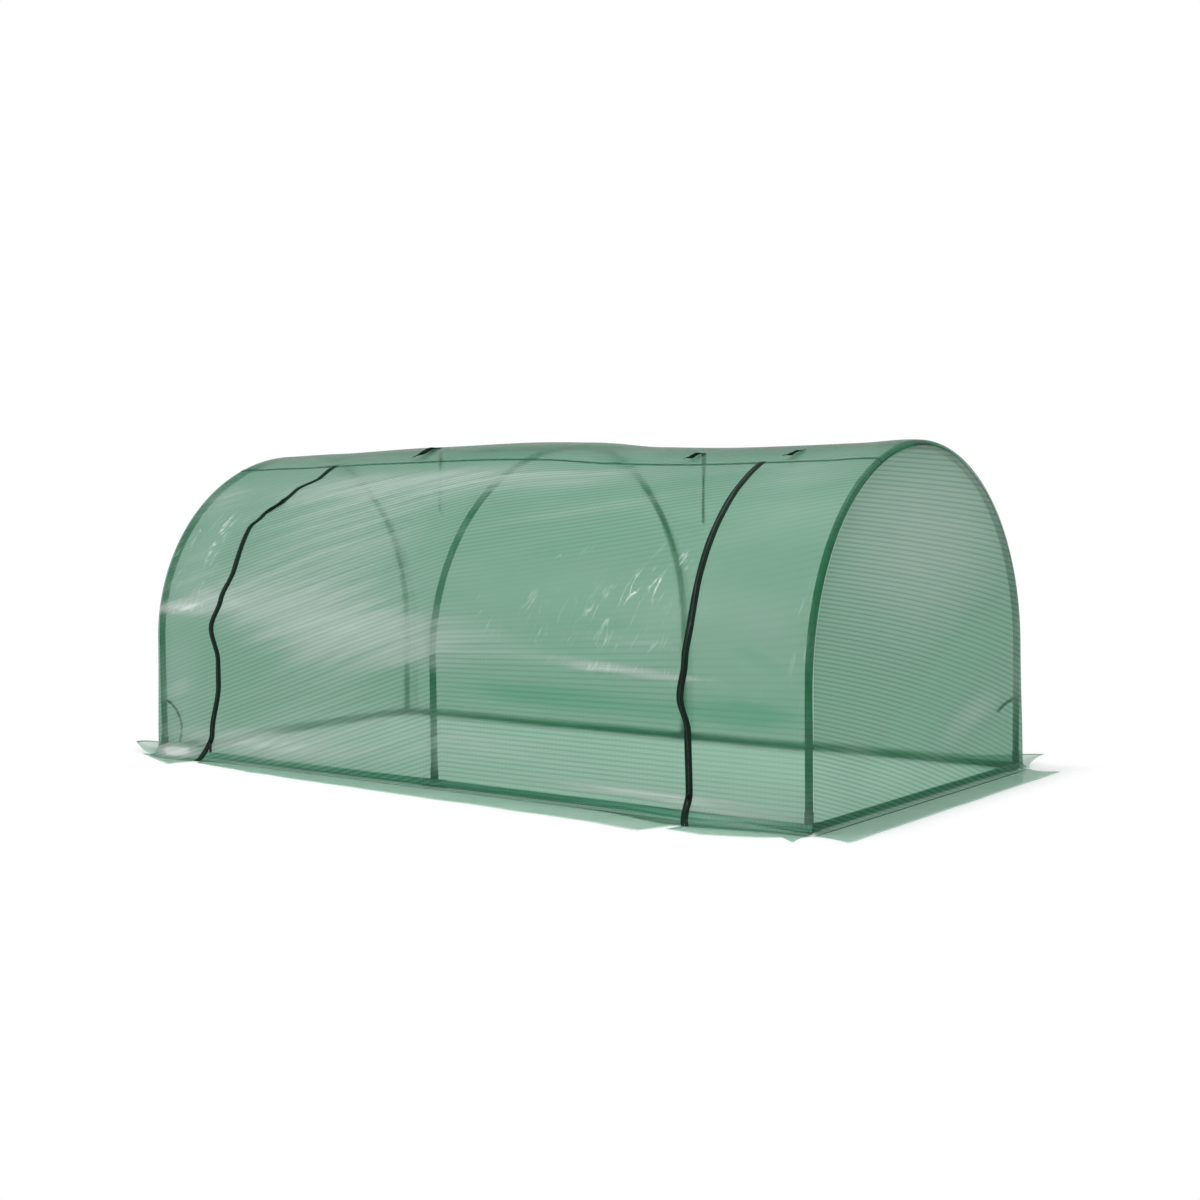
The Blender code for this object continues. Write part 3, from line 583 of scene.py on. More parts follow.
tubeSettings = {"radius": 0.008, "wall": 0.0008, "sides": 32, "quarterSteps": 24,
                "spigotRadius": 0.0069, "spigotLength": 0.035, "shoulder": 0.002,
                "start": 0.0098, "railJointY": -0.09, "ridgeSteps": 12}


def facing(point, way):
    # a frame whose Z runs along the way
    turn = Vector(way).to_track_quat("Z", "Y").to_matrix().to_4x4()
    return Matrix.Translation(Vector(point)) @ turn


def tubeAlong(node, points, radii=()):
    settings = tubeSettings
    points = [Vector(p) for p in points]
    radii = radii or [settings["radius"]] * len(points)
    bm = bmesh.new()
    ring = bmesh.ops.create_circle(bm, segments=settings["sides"], radius=radii[0])["verts"]
    edges = list(bm.edges)
    last = facing(points[0], points[1] - points[0])
    bmesh.ops.transform(bm, matrix=last, verts=ring)
    for index in range(1, len(points)):
        after = points[min(index + 1, len(points) - 1)]
        here = facing(points[index], after - points[index - 1])
        grown = bmesh.ops.extrude_edge_only(bm, edges=edges)["geom"]
        verts = [item for item in grown if isinstance(item, bmesh.types.BMVert)]
        edges = [item for item in grown if isinstance(item, bmesh.types.BMEdge)]
        widen = Matrix.Diagonal((*[radii[index] / radii[index - 1]] * 2, 1.0, 1.0))
        bmesh.ops.transform(bm, matrix=here @ widen @ last.inverted(), verts=verts)
        last = here
    bmesh.ops.recalc_face_normals(bm, faces=bm.faces)
    face = bm.faces[:][0]
    if face.normal.dot(face.calc_center_median() - (points[0] + points[1]) / 2) < 0:
        bmesh.ops.reverse_faces(bm, faces=bm.faces)
    tube = addPiece(pieceName(node), bm, [tubeSteel], [node], "steel_tube")
    thicken(tube, settings["wall"])


# The frame as it stands: the left hoop's crown is pressed down, the right hoop leans forwards and
# the ridge sags over the right bay
settleSettings = {"leftDrop": 0.016, "rightLean": 0.015, "ridgeSag": 0.008, "sagFrom": 0.55}


def settled(point):
    settings = settleSettings
    x, y, z = point
    up = max(0.0, z - shape["legHeight"]) / shape["archRadius"]
    top = shape["legHeight"] + shape["archRadius"]
    crown = ease((z - settings["sagFrom"]) / (top - settings["sagFrom"]))
    sag = settings["ridgeSag"] * math.sin(math.pi * within(x, 0.0, 1.0)) ** 2 * crown
    return Vector((x, y - settings["rightLean"] * up * up * max(0.0, x),
                   z - settings["leftDrop"] * up * max(0.0, -x) - sag))


def hoopFootX(name, side):
    middle, skew = hoops[name]
    return middle + side * skew


def hoopPoint(name, side, angle):
    middle, skew = hoops[name]
    across = side * math.cos(angle)
    return settled((middle + skew * across, shape["hoopRadius"] * across,
                    shape["legHeight"] + shape["hoopRadius"] * math.sin(angle)))


def buildHoop(name):
    settings = tubeSettings
    legTop = shape["legHeight"] - settings["shoulder"] - shape["clearance"]
    foot = shape["baseZ"] + settings["start"]
    steps = settings["quarterSteps"]
    stop = math.pi / 2 - settings["start"] / shape["hoopRadius"]
    for sideName, side in sides.items():
        x, y = hoopFootX(name, side), side * shape["hoopRadius"]
        tubeAlong(f"leg_{name}_{sideName}", [(x, y, foot), (x, y, legTop)])
        spigot = [(x, y, legTop - settings["spigotLength"]), (x, y, legTop)]
        arch = [hoopPoint(name, side, stop * step / steps) for step in range(steps + 1)]
        radii = [settings["spigotRadius"]] * len(spigot) + [settings["radius"]] * len(arch)
        tubeAlong(f"arch_{name}_{sideName}", spigot + arch, radii)


def buildRails():
    settings = tubeSettings
    z, radius, thin = shape["baseZ"], settings["radius"], settings["spigotRadius"]
    steps, joint = settings["ridgeSteps"], settings["railJointY"]
    reach = shape["hoopRadius"] - settings["start"]
    for endName, end in ends.items():
        inner = end * settings["start"]
        outer = end * (shape["hoopX"] - settings["start"])
        for sideName, side in sides.items():
            y = side * shape["hoopRadius"]
            tubeAlong(f"base_rail_{sideName}_{endName}",
                      [(hoopFootX("middle", side) + inner, y, z), (outer, y, z)])
        tubeAlong(f"ridge_tube_{endName}",
                  [settled((inner + (outer - inner) * step / steps, 0, ridgeZ))
                   for step in range(steps + 1)])
        x = end * shape["hoopX"]
        tubeAlong(f"end_rail_{endName}_back", [(x, joint, z), (x, reach, z)])
        stops = [-reach, joint - settings["shoulder"], joint, joint + settings["spigotLength"]]
        tubeAlong(f"end_rail_{endName}_front", [(x, y, z) for y in stops],
                  [radius, radius, thin, thin])


for hoopName in hoops:
    buildHoop(hoopName)
buildRails()
print("tubes made")


# Moulded connectors

connectorSettings = {"bore": 0.0084, "outer": 0.010, "length": 0.0345, "collar": 0.004,
                     "step": 0.0006, "edge": 0.0003, "stop": 0.0095, "sides": 28, "hub": 20,
                     "hubRings": 12, "start": 0.0012, "roll": 2.7, "drill": 0.05,
                     "archDegrees": 82.5}


def turnedSleeve(bm, settings, place):
    # a socket sleeve with a rolled collar, spun from its profile
    outer, edge, start = settings["outer"], settings["edge"], settings["start"]
    body, top = outer - settings["step"], settings["length"]
    low = top - settings["collar"]
    profile = [(0.0, top), (outer - edge, top), (outer, top - edge), (outer, low + edge),
               (outer - edge, low), (body, low - edge), (body, start), (0.0, start)]
    verts = [bm.verts.new((x, 0.0, z)) for x, z in profile]
    edges = [bm.edges.new(pair) for pair in zip(verts, verts[1:])]
    bmesh.ops.spin(bm, geom=verts + edges, cent=(0, 0, 0), axis=(0, 0, 1),
                   angle=math.tau, steps=settings["sides"], use_merge=True)
    bmesh.ops.remove_doubles(bm, verts=bm.verts, dist=0.00001)
    bmesh.ops.recalc_face_normals(bm, faces=bm.faces)
    bmesh.ops.transform(bm, matrix=place, verts=bm.verts)


def joinedSolid(first, others):
    # unions and cuts in turn, and the finished mesh; the helpers are removed
    for other, operation in others:
        step = first.modifiers.new(operation, "BOOLEAN")
        step.operation = operation
        step.solver = "EXACT"
        step.object = other
    done = bmesh.new()
    done.from_object(first, bpy.context.evaluated_depsgraph_get())
    for helper in [first] + [other for other, operation in others]:
        bpy.data.objects.remove(helper, do_unlink=True)
    return done


def buildConnector(node, centre, ways):
    settings = connectorSettings
    parts = []
    for index, way in enumerate(ways):
        # each sleeve is rolled a little further, so that no two have faces in one plane
        roll = Matrix.Rotation(math.radians(settings["roll"] * index), 4, "Z")
        bm = bmesh.new()
        turnedSleeve(bm, settings, facing(centre, way) @ roll)
        parts.append((meshObject("sleeve", bm), "UNION"))
    bm = bmesh.new()
    bmesh.ops.create_uvsphere(bm, u_segments=settings["hub"], v_segments=settings["hubRings"],
                              radius=settings["outer"], matrix=Matrix.Translation(centre))
    parts.append((meshObject("hub", bm), "UNION"))
    past = Matrix.Translation((0, 0, settings["stop"] + settings["drill"] / 2))
    for way in ways:
        bm = bmesh.new()
        bmesh.ops.create_cone(bm, cap_ends=True, segments=settings["sides"],
                              radius1=settings["bore"], radius2=settings["bore"],
                              depth=settings["drill"], matrix=facing(centre, way) @ past)
        parts.append((meshObject("bore", bm), "DIFFERENCE"))
    addPiece(pieceName(node), joinedSolid(parts[0][0], parts[1:]), [mouldedPlastic], [node],
             "connector", smoothFaces=False)


def archWays(name):
    crown = hoopPoint(name, 1, math.pi / 2)
    low = math.radians(connectorSettings["archDegrees"])
    return [(hoopPoint(name, side, low) - crown).normalized() for side in (-1, 1)]


def buildConnectors():
    up, right, left = (0, 0, 1), (1, 0, 0), (-1, 0, 0)
    for sideName, side in sides.items():
        y = side * shape["hoopRadius"]
        for endName, end in ends.items():
            buildConnector(f"corner_{endName}_{sideName}",
                           Vector((end * shape["hoopX"], y, shape["baseZ"])),
                           [up, (-end, 0, 0), (0, -side, 0)])
        buildConnector(f"base_tee_{sideName}",
                       Vector((hoopFootX("middle", side), y, shape["baseZ"])), [up, right, left])
    for endName, end in ends.items():
        buildConnector(f"ridge_connector_{endName}", settled((end * shape["hoopX"], 0, ridgeZ)),
                       [(-end, 0, 0), *archWays(endName)])
    buildConnector("ridge_connector_middle", Vector((0, 0, ridgeZ)),
                   [right, left, *archWays("middle")])


buildConnectors()
print("connectors made")


# Cover film. A point of it is given by x and by its length up the sheet from the door side's
# ground, and out is how far it stands from the tunnel's plain section.

slackSettings = {
    "foot": 0.014, "frontFlares": [(0.050, 0.70, 0.16), (0.030, -0.90, 0.13)],
    "backFlares": [(0.010, 0.90, 0.20)], "wrap": 0.0113, "wrapColumns": 5,
    "wrapStep": 0.0024, "edge": 0.9999, "lapEnd": 0.012, "crowd": (0.12, 1.6), "rest": 0.0017,
    "ripple": 0.0035, "fineRipple": 0.45, "leastSlack": 0.25, "mostSlack": (0.42, 0.35),
    "fold": 0.010, "foldHigh": 0.31, "foldDrop": 0.03, "foldHalf": 0.055, "foldMost": (0.35, 0.75),
    "foldAtHoops": 0.4, "hollow": 0.006, "hollowHigh": (0.17, 0.06), "zipMargin": 0.001,
    "zipHold": 0.95, "zipHoldHalf": 0.07, "zipHoldTo": 0.31, "zipHoldEdge": 0.05,
    "cornerFrom": 0.6, "cornerHigh": 0.33, "cornerBack": 0.016, "cornerFront": 0.008,
    "overRidge": -0.0024, "ridgeHalf": 0.05, "overTubes": -0.0012, "between": 0.006, "crestHalf": 0.42,
}
# how far the crest stands above the plain section along the tunnel: full over the left bay and the
# middle hoop, down on the ridge tube over the right bay
crestLine = [(-1.0, 0.0), (-0.8, 0.003), (-0.45, 0.010), (-0.12, 0.013), (0.08, 0.009),
             (0.28, -0.001), (0.5, -0.0024), (0.85, -0.0024), (0.97, 0.002), (1.0, 0.001)]


def sectionPoint(length, out):
    radius = shape["archRadius"]
    if length < shape["legHeight"]:
        return Vector((-(radius + out), length))
    if length > sheetLength - shape["legHeight"]:
        return Vector((radius + out, sheetLength - length))
    angle = (length - shape["legHeight"]) / radius
    return Vector((-(radius + out) * math.cos(angle),
                   shape["legHeight"] + (radius + out) * math.sin(angle)))


def footRadius(x, front):
    # how wide the film curves out from the wall into the skirt
    flares = slackSettings["frontFlares" if front else "backFlares"]
    return slackSettings["foot"] + sum(out * hump(x, at, wide) for out, at, wide in flares)


def roundedOut(radius, part):
    # how far a quarter round has come out, from 0 to its radius
    return radius * (1 - math.sqrt(max(0.0, 1 - part * part)))


def footOut(radius, height):
    return roundedOut(radius, 1 - max(0.0, height) / radius) if height < radius else 0.0


def hoopWrap(x):
    # the film rounds the end hoops' tubes on its way to the end wall
    radius = slackSettings["wrap"]
    return roundedOut(radius, within((abs(x) - shape["hoopX"]) / radius, 0.0, 1.0))


def zipX(name, length):
    # the zips lean with the film's foot, which carries them forwards
    x = zips[name]["x"] + easeBetween(zips[name]["wander"], length)
    return x + zips[name]["lean"] * footOut(footRadius(x, True), length)


def baySpan(x, y):
    # 0 at the hoops and 1 halfway between two of them
    middle = shape["middleSkew"] * y / shape["hoopRadius"]
    if x < middle:
        place = max(0.0, (x + 1) / (middle + 1))
    else:
        place = min(1.0, (x - middle) / (1 - middle))
    return math.sin(math.pi * place) ** 0.8 if 0 < place < 1 else 0.0


def overGround(length):
    # whether this is the door side, and how high up the sheet it is on its own side
    front = length < crest
    return front, length if front else sheetLength - length


def cornerSpread(x, length):
    # the corners' feet stand a little outward
    settings = slackSettings
    front, height = overGround(length)
    low = ease(1 - max(0.0, height) / settings["cornerHigh"])
    past = ease((abs(x) - settings["cornerFrom"]) / (1 - settings["cornerFrom"]))
    if x > 0 and not front:
        return settings["cornerBack"] * low * past
    if x < 0 and front:
        return settings["cornerFront"] * low * past
    return 0.0


def filmOut(x, length):
    settings = slackSettings
    span = baySpan(x, sectionPoint(length, 0.0)[0])
    out = easeBetween(crestLine, x) * hump(length, crest, settings["crestHalf"])
    # soft folds that run along the tunnel, and slack waves across them
    soft = noise.noise(Vector((x * 2.3, length * 8.5, 3.1)))
    fine = noise.noise(Vector((x * 7.0 + 5.0, length * 13.0, 9.4)))
    least = settings["leastSlack"]
    slack = least + (1 - least) * hump(length, *settings["mostSlack"])
    out += settings["ripple"] * span * slack * (soft + settings["fineRipple"] * fine)
    # the door's long fold just above the legs' tops, strongest towards the right zip
    fold = hump(length, settings["foldHigh"] - settings["foldDrop"] * x, settings["foldHalf"])
    least = settings["foldAtHoops"]
    out += settings["fold"] * fold * hump(x, *settings["foldMost"]) * (least + (1 - least) * span)
    out -= settings["hollow"] * hump(length, *settings["hollowHigh"]) * span
    # the zips hold the film flat where their sliders run
    nearZip = max(hump(x, zipX(name, length), settings["zipHoldHalf"]) for name in zips)
    held = 1 - ease((length - settings["zipHoldTo"]) / settings["zipHoldEdge"])
    out *= 1 - settings["zipHold"] * nearZip * held
    front, height = overGround(length)
    out += footOut(footRadius(x, front), height) + cornerSpread(x, length)
    # but never deeper than the tubes let it
    least = settings["overTubes"] - settings["between"] * span
    if abs(length - crest) < settings["ridgeHalf"]:
        least = settings["overRidge"]
    return max(out, least) - hoopWrap(x)


def strokeWeight(strokes, x, length):
    # soft strokes of paint: middle, half sizes along and across, slant, strength
    total = 0.0
    for px, pl, along, across, slant, strength in strokes:
        dx, dl = x - px, length - pl
        turned = (dx * math.cos(slant) + dl * math.sin(slant),
                  dl * math.cos(slant) - dx * math.sin(slant))
        total += strength * hump(turned[0], 0.0, along) * hump(turned[1], 0.0, across)
    return within(total, -1.0, 2.0)


# where the laminate has crumpled: painted glints along its creases, and their relief
creaseGlintStrokes = [
    (0.60, 0.53, 0.10, 0.05, 0.5, 1.1), (0.48, 0.44, 0.16, 0.05, 0.1, 0.8),
    (0.55, 0.37, 0.14, 0.016, 0.0, 0.8), (0.56, 0.31, 0.20, 0.012, -0.05, 0.6),
    (0.27, 0.43, 0.022, 0.07, 0.5, 0.8), (0.13, 0.41, 0.016, 0.05, 0.6, 0.7),
    (0.33, 0.57, 0.08, 0.014, 0.25, 0.6), (-0.88, 0.63, 0.08, 0.03, 0.2, 0.9),
    (-0.85, 0.56, 0.03, 0.11, 0.0, 1.0), (-0.96, 0.52, 0.03, 0.12, 0.0, 1.0),
    (-0.90, 0.395, 0.10, 0.014, 0.1, 0.9), (0.97, 0.40, 0.02, 0.10, 0.0, 0.8),
]
# the painted light on the film: a milky painted sheen (above zero), a bright painted highlight (above one) and a
# clearer, deeper green painted shade (below zero)
paintedLightStrokes = [
    (-0.42, 0.58, 0.44, 0.26, 0.0, 0.65), (0.05, 0.805, 0.85, 0.070, 0.06, 0.60),
    (-0.38, 0.365, 0.54, 0.085, -0.14, 0.65), (-0.76, 0.42, 0.10, 0.020, -0.1, 0.5),
    (-0.40, 0.22, 0.40, 0.16, 0.0, 0.35), (-0.62, 0.055, 0.30, 0.034, 0.0, 1.15),
    (0.28, 0.58, 0.28, 0.07, 0.1, -0.3), (0.54, 0.312, 0.24, 0.014, -0.05, 0.9),
    (0.57, 0.306, 0.18, 0.006, -0.05, 0.6), (0.60, 0.045, 0.20, 0.007, 0.0, 0.7),
    (0.58, 0.37, 0.14, 0.012, 0.0, 0.7), (0.10, 0.37, 0.30, 0.05, 0.0, 0.3),
    (0.36, 0.240, 0.42, 0.032, -0.02, -1.1), (0.45, 0.40, 0.15, 0.02, 0.0, -0.5),
    (0.10, 0.10, 0.70, 0.07, 0.0, 0.55), (0.50, 0.045, 0.28, 0.016, 0.0, 0.6),
    (0.34, 0.70, 0.34, 0.030, 0.22, 0.45), (0.25, 0.62, 0.30, 0.020, 0.25, 0.35),
    (0.40, 0.75, 0.30, 0.020, 0.20, -0.4), (0.88, 0.050, 0.20, 0.050, 0.0, 0.45),
    (0.85, 0.235, 0.14, 0.03, -0.05, -1.0), (0.85, 0.80, 0.16, 0.14, 0.0, 0.30),
    (0.88, 0.42, 0.12, 0.05, -0.3, 0.4), (0.86, 0.36, 0.12, 0.02, -0.35, -0.5),
    (-0.90, 0.52, 0.09, 0.10, 0.0, 0.15), (-0.90, 0.395, 0.10, 0.016, 0.05, 1.3),
    (-0.915, 0.016, 0.065, 0.013, 0.0, 2.6), (-0.92, 0.20, 0.09, 0.12, 0.0, 0.5),
    (-0.92, 0.74, 0.08, 0.10, 0.0, 0.30), (0.87, 0.030, 0.20, 0.014, 0.0, 0.25),
]
# where the weave hardly shows
calmStrokes = [
    (0.34, 0.46, 0.45, 0.14, 0.0, 1.0), (0.86, 0.48, 0.20, 0.42, 0.0, 0.8),
    (-0.90, 0.50, 0.12, 0.42, 0.0, 0.8),
]
hemSettings = {"low": 0.006, "high": 0.018, "edge": 0.004, "denseFrom": 0.70, "dense": 0.7,
               "denseEdge": 0.04, "line": 0.002, "lineEdge": 0.003, "seam": 0.25, "seamHalf": 0.006,
               "onEnds": 0.6}


def hemWeight(x, length):
    # the doubled film of the hem round the base rail, dense beside the right zip, and the seam
    # above the door
    settings = hemSettings
    dense = ease((x - settings["denseFrom"]) / settings["denseEdge"])
    band = ease((length - settings["low"]) / settings["edge"])
    band *= 1 + settings["dense"] * dense
    band *= 1 - ease((length - settings["high"]) / settings["edge"])
    line = dense * (1 - ease((length - settings["line"]) / settings["lineEdge"]))
    seam = 1 - ease((abs(length - doorTop) - settings["seamHalf"]) / settings["edge"])
    return max(band, line, settings["seam"] * seam)


# how steeply the weave's rows climb to the right: left of the middle hoop at every height, right
# of it only on the upper half, and on the end walls towards the front, most near the ground
tiltSettings = {"left": 0.33, "right": 0.20, "from": 0.15, "over": 0.6, "end": 0.36,
                "endTop": 0.85}


def wallWeave(x, length):
    settings = tiltSettings
    slope = settings["right"] * ease((length - settings["from"]) / settings["over"])
    return x, length - (settings["left"] if x < 0 else slope) * x


def wallPaint(x, length):
    return {"crease": within(strokeWeight(creaseGlintStrokes, x, length), 0.0, 1.0),
            "haze": strokeWeight(paintedLightStrokes, x, length), "hem": hemWeight(x, length),
            "calm": strokeWeight(calmStrokes, x, length)}


def flatArea(face, flat):
    points = [Vector(flat[vert.index]) for vert in face.verts]
    area = 0.0
    for a, b in zip(points, points[1:] + points[:1]):
        area += (a.x * b.y - b.x * a.y) / 2
    return abs(area)


def buildSheet(name, nodes, grid, placeOf, flatOf, inside, film=0.0004, body=None,
               slotName="cover_film", materials=(filmFace, filmInner),
               paintOf=lambda a, b: {}, weaveOf=lambda a, b: (a, b)):
    # a grid laid flat and then in its place, with faces that turn from the point inside, the film's own metres as UV,
    # and its creases with their painted glints, its painted light, its hem and its hidden weave as attributes
    columns, rows = grid
    bm = bmesh.new()
    bmesh.ops.create_grid(bm, x_segments=columns, y_segments=rows, size=1.0)
    uvLayer = bm.loops.layers.uv.new("filmGrid")
    paints = {layer: bm.verts.layers.float.new(layer) for layer in paintLayers}
    bm.verts.index_update()
    flat, weave = {}, {}
    for vert in bm.verts:
        u, v = (vert.co.x + 1) / 2, (vert.co.y + 1) / 2
        a, b = flatOf(u, v)
        flat[vert.index], weave[vert.index] = (a, b), weaveOf(a, b)
        for layer, weight in paintOf(a, b).items():
            vert[paints[layer]] = weight
        vert.co = placeOf(v, a, b)
    bm.normal_update()
    bm.faces.ensure_lookup_table()
    probe = bm.faces[len(bm.faces) // 2 + columns // 2]
    if probe.normal.dot(probe.calc_center_median() - Vector(inside)) < 0:
        bmesh.ops.reverse_faces(bm, faces=bm.faces)
    area = 0.0
    for face in bm.faces:
        area += flatArea(face, flat)
        for loop in face.loops:
            loop[uvLayer].uv = weave[loop.vert.index]
    piece = addPiece(name, bm, materials, nodes, slotName, body)
    wall = thicken(piece, film)
    if len(materials) > 1:
        wall.material_offset = 1
        wall.material_offset_rim = 0
    return piece, area


def wallPlace(x, length, extra=0.0):
    y, z = sectionPoint(length, filmOut(x, length) + extra)
    return settled((x, y, max(z, slackSettings["rest"])))


def columnShares(columns, width, atStart, atEnd):
    # even columns, with a few narrow ones where the film rounds an end hoop
    fine, step = slackSettings["wrapColumns"], slackSettings["wrapStep"] / width
    low, high = fine * step * atStart, 1 - fine * step * atEnd
    inner = columns - fine * (atStart + atEnd)
    shares = [step * index for index in range(fine * atStart)]
    shares += [low + (high - low) * index / inner for index in range(inner + 1)]
    return shares + [high + step * (index + 1) for index in range(fine * atEnd)]


def crowded(v):
    # rows crowded towards the foot, where the hem and the curve into the skirt are
    even, power = slackSettings["crowd"]
    return even * v + (1 - even) * v ** power


hinge = Vector((0.0, *sectionPoint(doorTop, 0.0)))
doorBend = 0.04


def blendDoor(piece):
    # the top bends over the seam, and the rest moves with the door
    low = sectionPoint(doorTop - doorBend, 0.0)
    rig.blend(piece, "frame_and_cover", "door", start=hinge, end=(0.0, low[0], low[1]))


def besideZip(name, side):
    return lambda length: zipX(name, length) + side * slackSettings["zipMargin"]


def atEnd(name):
    return lambda length: ends[name] * slackSettings["edge"]


# Each sheet's node, grid, edges and span up the sheet, whether it rounds the left and the right end
# hoop, and its flat size with what it rests on. The roof's own edge laps over the door's seam.
frontSpan = (0.0, doorTop - shape["clearance"])
wallSheets = {
    "roofAndBackFilm": {
        "node": "cover_roof_and_back", "grid": (150, 96), "left": atEnd("left"),
        "right": atEnd("right"), "span": (doorTop - 0.004, sheetLength), "rounds": (True, True),
        "lap": 0.0008, "flat": (2.0, 1.282), "mostArea": 2.56,
        "restsOn": ["archLeftFront", "archMiddleBack", "archRightBack", "ridgeTubeLeft"]},
    "leftFrontFilm": {
        "node": "cover_strip_left", "grid": (32, 96), "left": atEnd("left"),
        "right": besideZip("left", -1), "span": frontSpan, "rounds": (True, False),
        "flat": (0.38, 0.889), "restsOn": ["archLeftFront", "legLeftFront"]},
    "rightFrontFilm": {
        "node": "cover_strip_right", "grid": (36, 96), "left": besideZip("right", 1),
        "right": atEnd("right"), "span": frontSpan, "rounds": (False, True),
        "flat": (0.34, 0.889), "restsOn": ["archRightFront", "legRightFront"]},
    "doorFilm": {
        "node": "door_panel", "grid": (130, 96), "left": besideZip("left", 1),
        "right": besideZip("right", -1), "span": frontSpan, "rounds": (False, False),
        "flat": (1.60, 0.889), "restsOn": ["roofAndBackFilm", "archMiddleFront"]},
}
insideTunnel = (0, 0, 0.3)


def buildWallSheet(name, sheet):
    columns = sheet["grid"][0]
    start, stop = sheet["span"]
    leftEdge, rightEdge = sheet["left"], sheet["right"]
    shares = columnShares(columns, rightEdge(0.5) - leftEdge(0.5), *sheet["rounds"])

    def flatOf(u, v):
        length = start + (stop - start) * (crowded(v) if start == 0 else v)
        left, right = leftEdge(length), rightEdge(length)
        return left + (right - left) * shares[round(u * columns)], length

    def placeOf(v, x, length):
        past = ease((length - doorTop) / slackSettings["lapEnd"])
        return wallPlace(x, length, sheet.get("lap", 0.0) * (1 - past))

    onDoor = name == "doorFilm"
    film, area = buildSheet(name, [sheet["node"]], sheet["grid"], placeOf, flatOf, insideTunnel,
                            body=None if onDoor else "frame_and_cover", paintOf=wallPaint,
                            weaveOf=wallWeave)
    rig.sheet(film, flat=sheet["flat"], held="stretched", rests_on=sheet["restsOn"],
             area=min(area, sheet.get("mostArea", area)))
    if onDoor:
        blendDoor(film)


# the right end wall's painted light: a milky painted sheen up in the arch, a deeper green painted shade along a slant
# low down
endPaintedLight = [(0.0, 0.60, 0.60, 0.30, 0.0, 0.42), (0.10, 0.26, 0.35, 0.06, 0.45, -0.45),
           (-0.30, 0.12, 0.16, 0.10, 0.3, 0.3), (0.38, 0.02, 0.12, 0.05, 0.0, -0.7),
           (0.48, 0.40, 0.05, 0.40, 0.0, 0.3), (0.0, 0.58, 0.7, 0.45, 0.0, 0.35),
           (0.22, 0.16, 0.24, 0.05, 0.25, 0.5)]
endSettings = {"grid": (72, 64), "slack": 0.0025, "draw": 0.001, "foot": 0.012,
               "footSlack": 0.02}


def buildEndWall(endName, end):
    settings = endSettings
    radius = shape["hoopRadius"]

    def flatOf(u, v):
        y = -radius * math.cos(math.pi * u)
        top = shape["legHeight"] + math.sqrt(max(0.0, radius ** 2 - y * y))
        return y, top * crowded(v)

    def placeOf(v, y, z):
        free = math.sqrt(max(0.0, 1 - (y / radius) ** 2))
        free *= math.sin(math.pi * min(1.0, settings["footSlack"] * (1 - v) + v))
        wave = noise.noise(Vector((y * 3.0, z * 4.0, 7.0 + end)))
        out = free * (settings["slack"] * wave - settings["draw"]) + footOut(settings["foot"], z)
        spread = cornerSpread(end, z if y < 0 else sheetLength - z)
        return settled((end * (1.0 + out), y * (1 + spread * abs(y) / radius ** 2),
                        max(z, slackSettings["rest"])))

    def paintOf(y, z):
        return {"haze": strokeWeight(endPaintedLight, y, z) if end > 0 else 0.0,
                "hem": hemSettings["onEnds"] * hemWeight(0.0, z)}

    def weaveOf(y, z):
        return y, z + tiltSettings["end"] * (1 - z / tiltSettings["endTop"]) * y

    title = endName.capitalize()
    wall, area = buildSheet(f"endFilm{title}", [f"cover_end_{endName}"], settings["grid"], placeOf,
                            flatOf, insideTunnel, body="frame_and_cover",
                            materials=(filmTaut, filmInner), paintOf=paintOf, weaveOf=weaveOf)
    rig.sheet(wall, flat=(1.0, 0.8), held="stretched", area=area,
             rests_on=[f"arch{title}Front", f"arch{title}Back"])


for sheetName, wallSheet in wallSheets.items():
    buildWallSheet(sheetName, wallSheet)
for wallName, wallEnd in ends.items():
    buildEndWall(wallName, wallEnd)
print("cover made")


# Ground skirts

skirtSettings = {"width": 0.12, "flareX": 0.60, "low": 0.0008, "wave": 0.0014, "fromWall": 0.010,
                 "fromEnd": 0.008, "fullness": 0.004, "cornerSteps": 10}
# the tips of the skirts at each corner, past the tunnel's own corner, and the notch between them
cornerTips = {
    "left_front": {"long": (-0.166, 0.112), "end": (0.106, -0.010), "notch": 0.030},
    "right_front": {"long": (0.011, 0.087), "end": (0.104, 0.027), "notch": 0.010},
    "left_back": {"long": (0.020, 0.120), "end": (0.100, 0.015), "notch": 0.025},
    "right_back": {"long": (-0.010, 0.160), "end": (0.093, 0.021), "notch": 0.015},
}


def ground(*places):
    return [Vector(place) for place in places]


def cornerCurve(endName, sideName):
    # from the long skirt's tip through the notch to the end skirt's tip, on the ground
    tips, steps = cornerTips[f"{endName}_{sideName}"], skirtSettings["cornerSteps"]
    a, b = Vector(tips["long"]), Vector(tips["end"])
    bend = 2 * Vector((tips["notch"], tips["notch"])) - (a + b) / 2
    points = []
    for step in range(2 * steps + 1):
        t = step / (2 * steps)
        p = (1 - t) ** 2 * a + 2 * (1 - t) * t * bend + t * t * b
        points.append(Vector((ends[endName] * (shape["halfLength"] + p.x),
                              sides[sideName] * (shape["archRadius"] + p.y))))
    return points[:steps + 1], points[steps:]


def evenPoint(points, part):
    lengths = [(b - a).length for a, b in zip(points, points[1:])]
    want = part * sum(lengths)
    for (a, b), length in zip(zip(points, points[1:]), lengths):
        if want <= length:
            return a.lerp(b, want / length if length else 0.0)
        want -= length
    return points[-1].copy()


def curl(corner, reach, height):
    # how a tip lifts off the ground
    return lambda x, y, v: height * v * v * hump((Vector((x, y)) - Vector(corner)).length, 0.0,
                                                 reach)


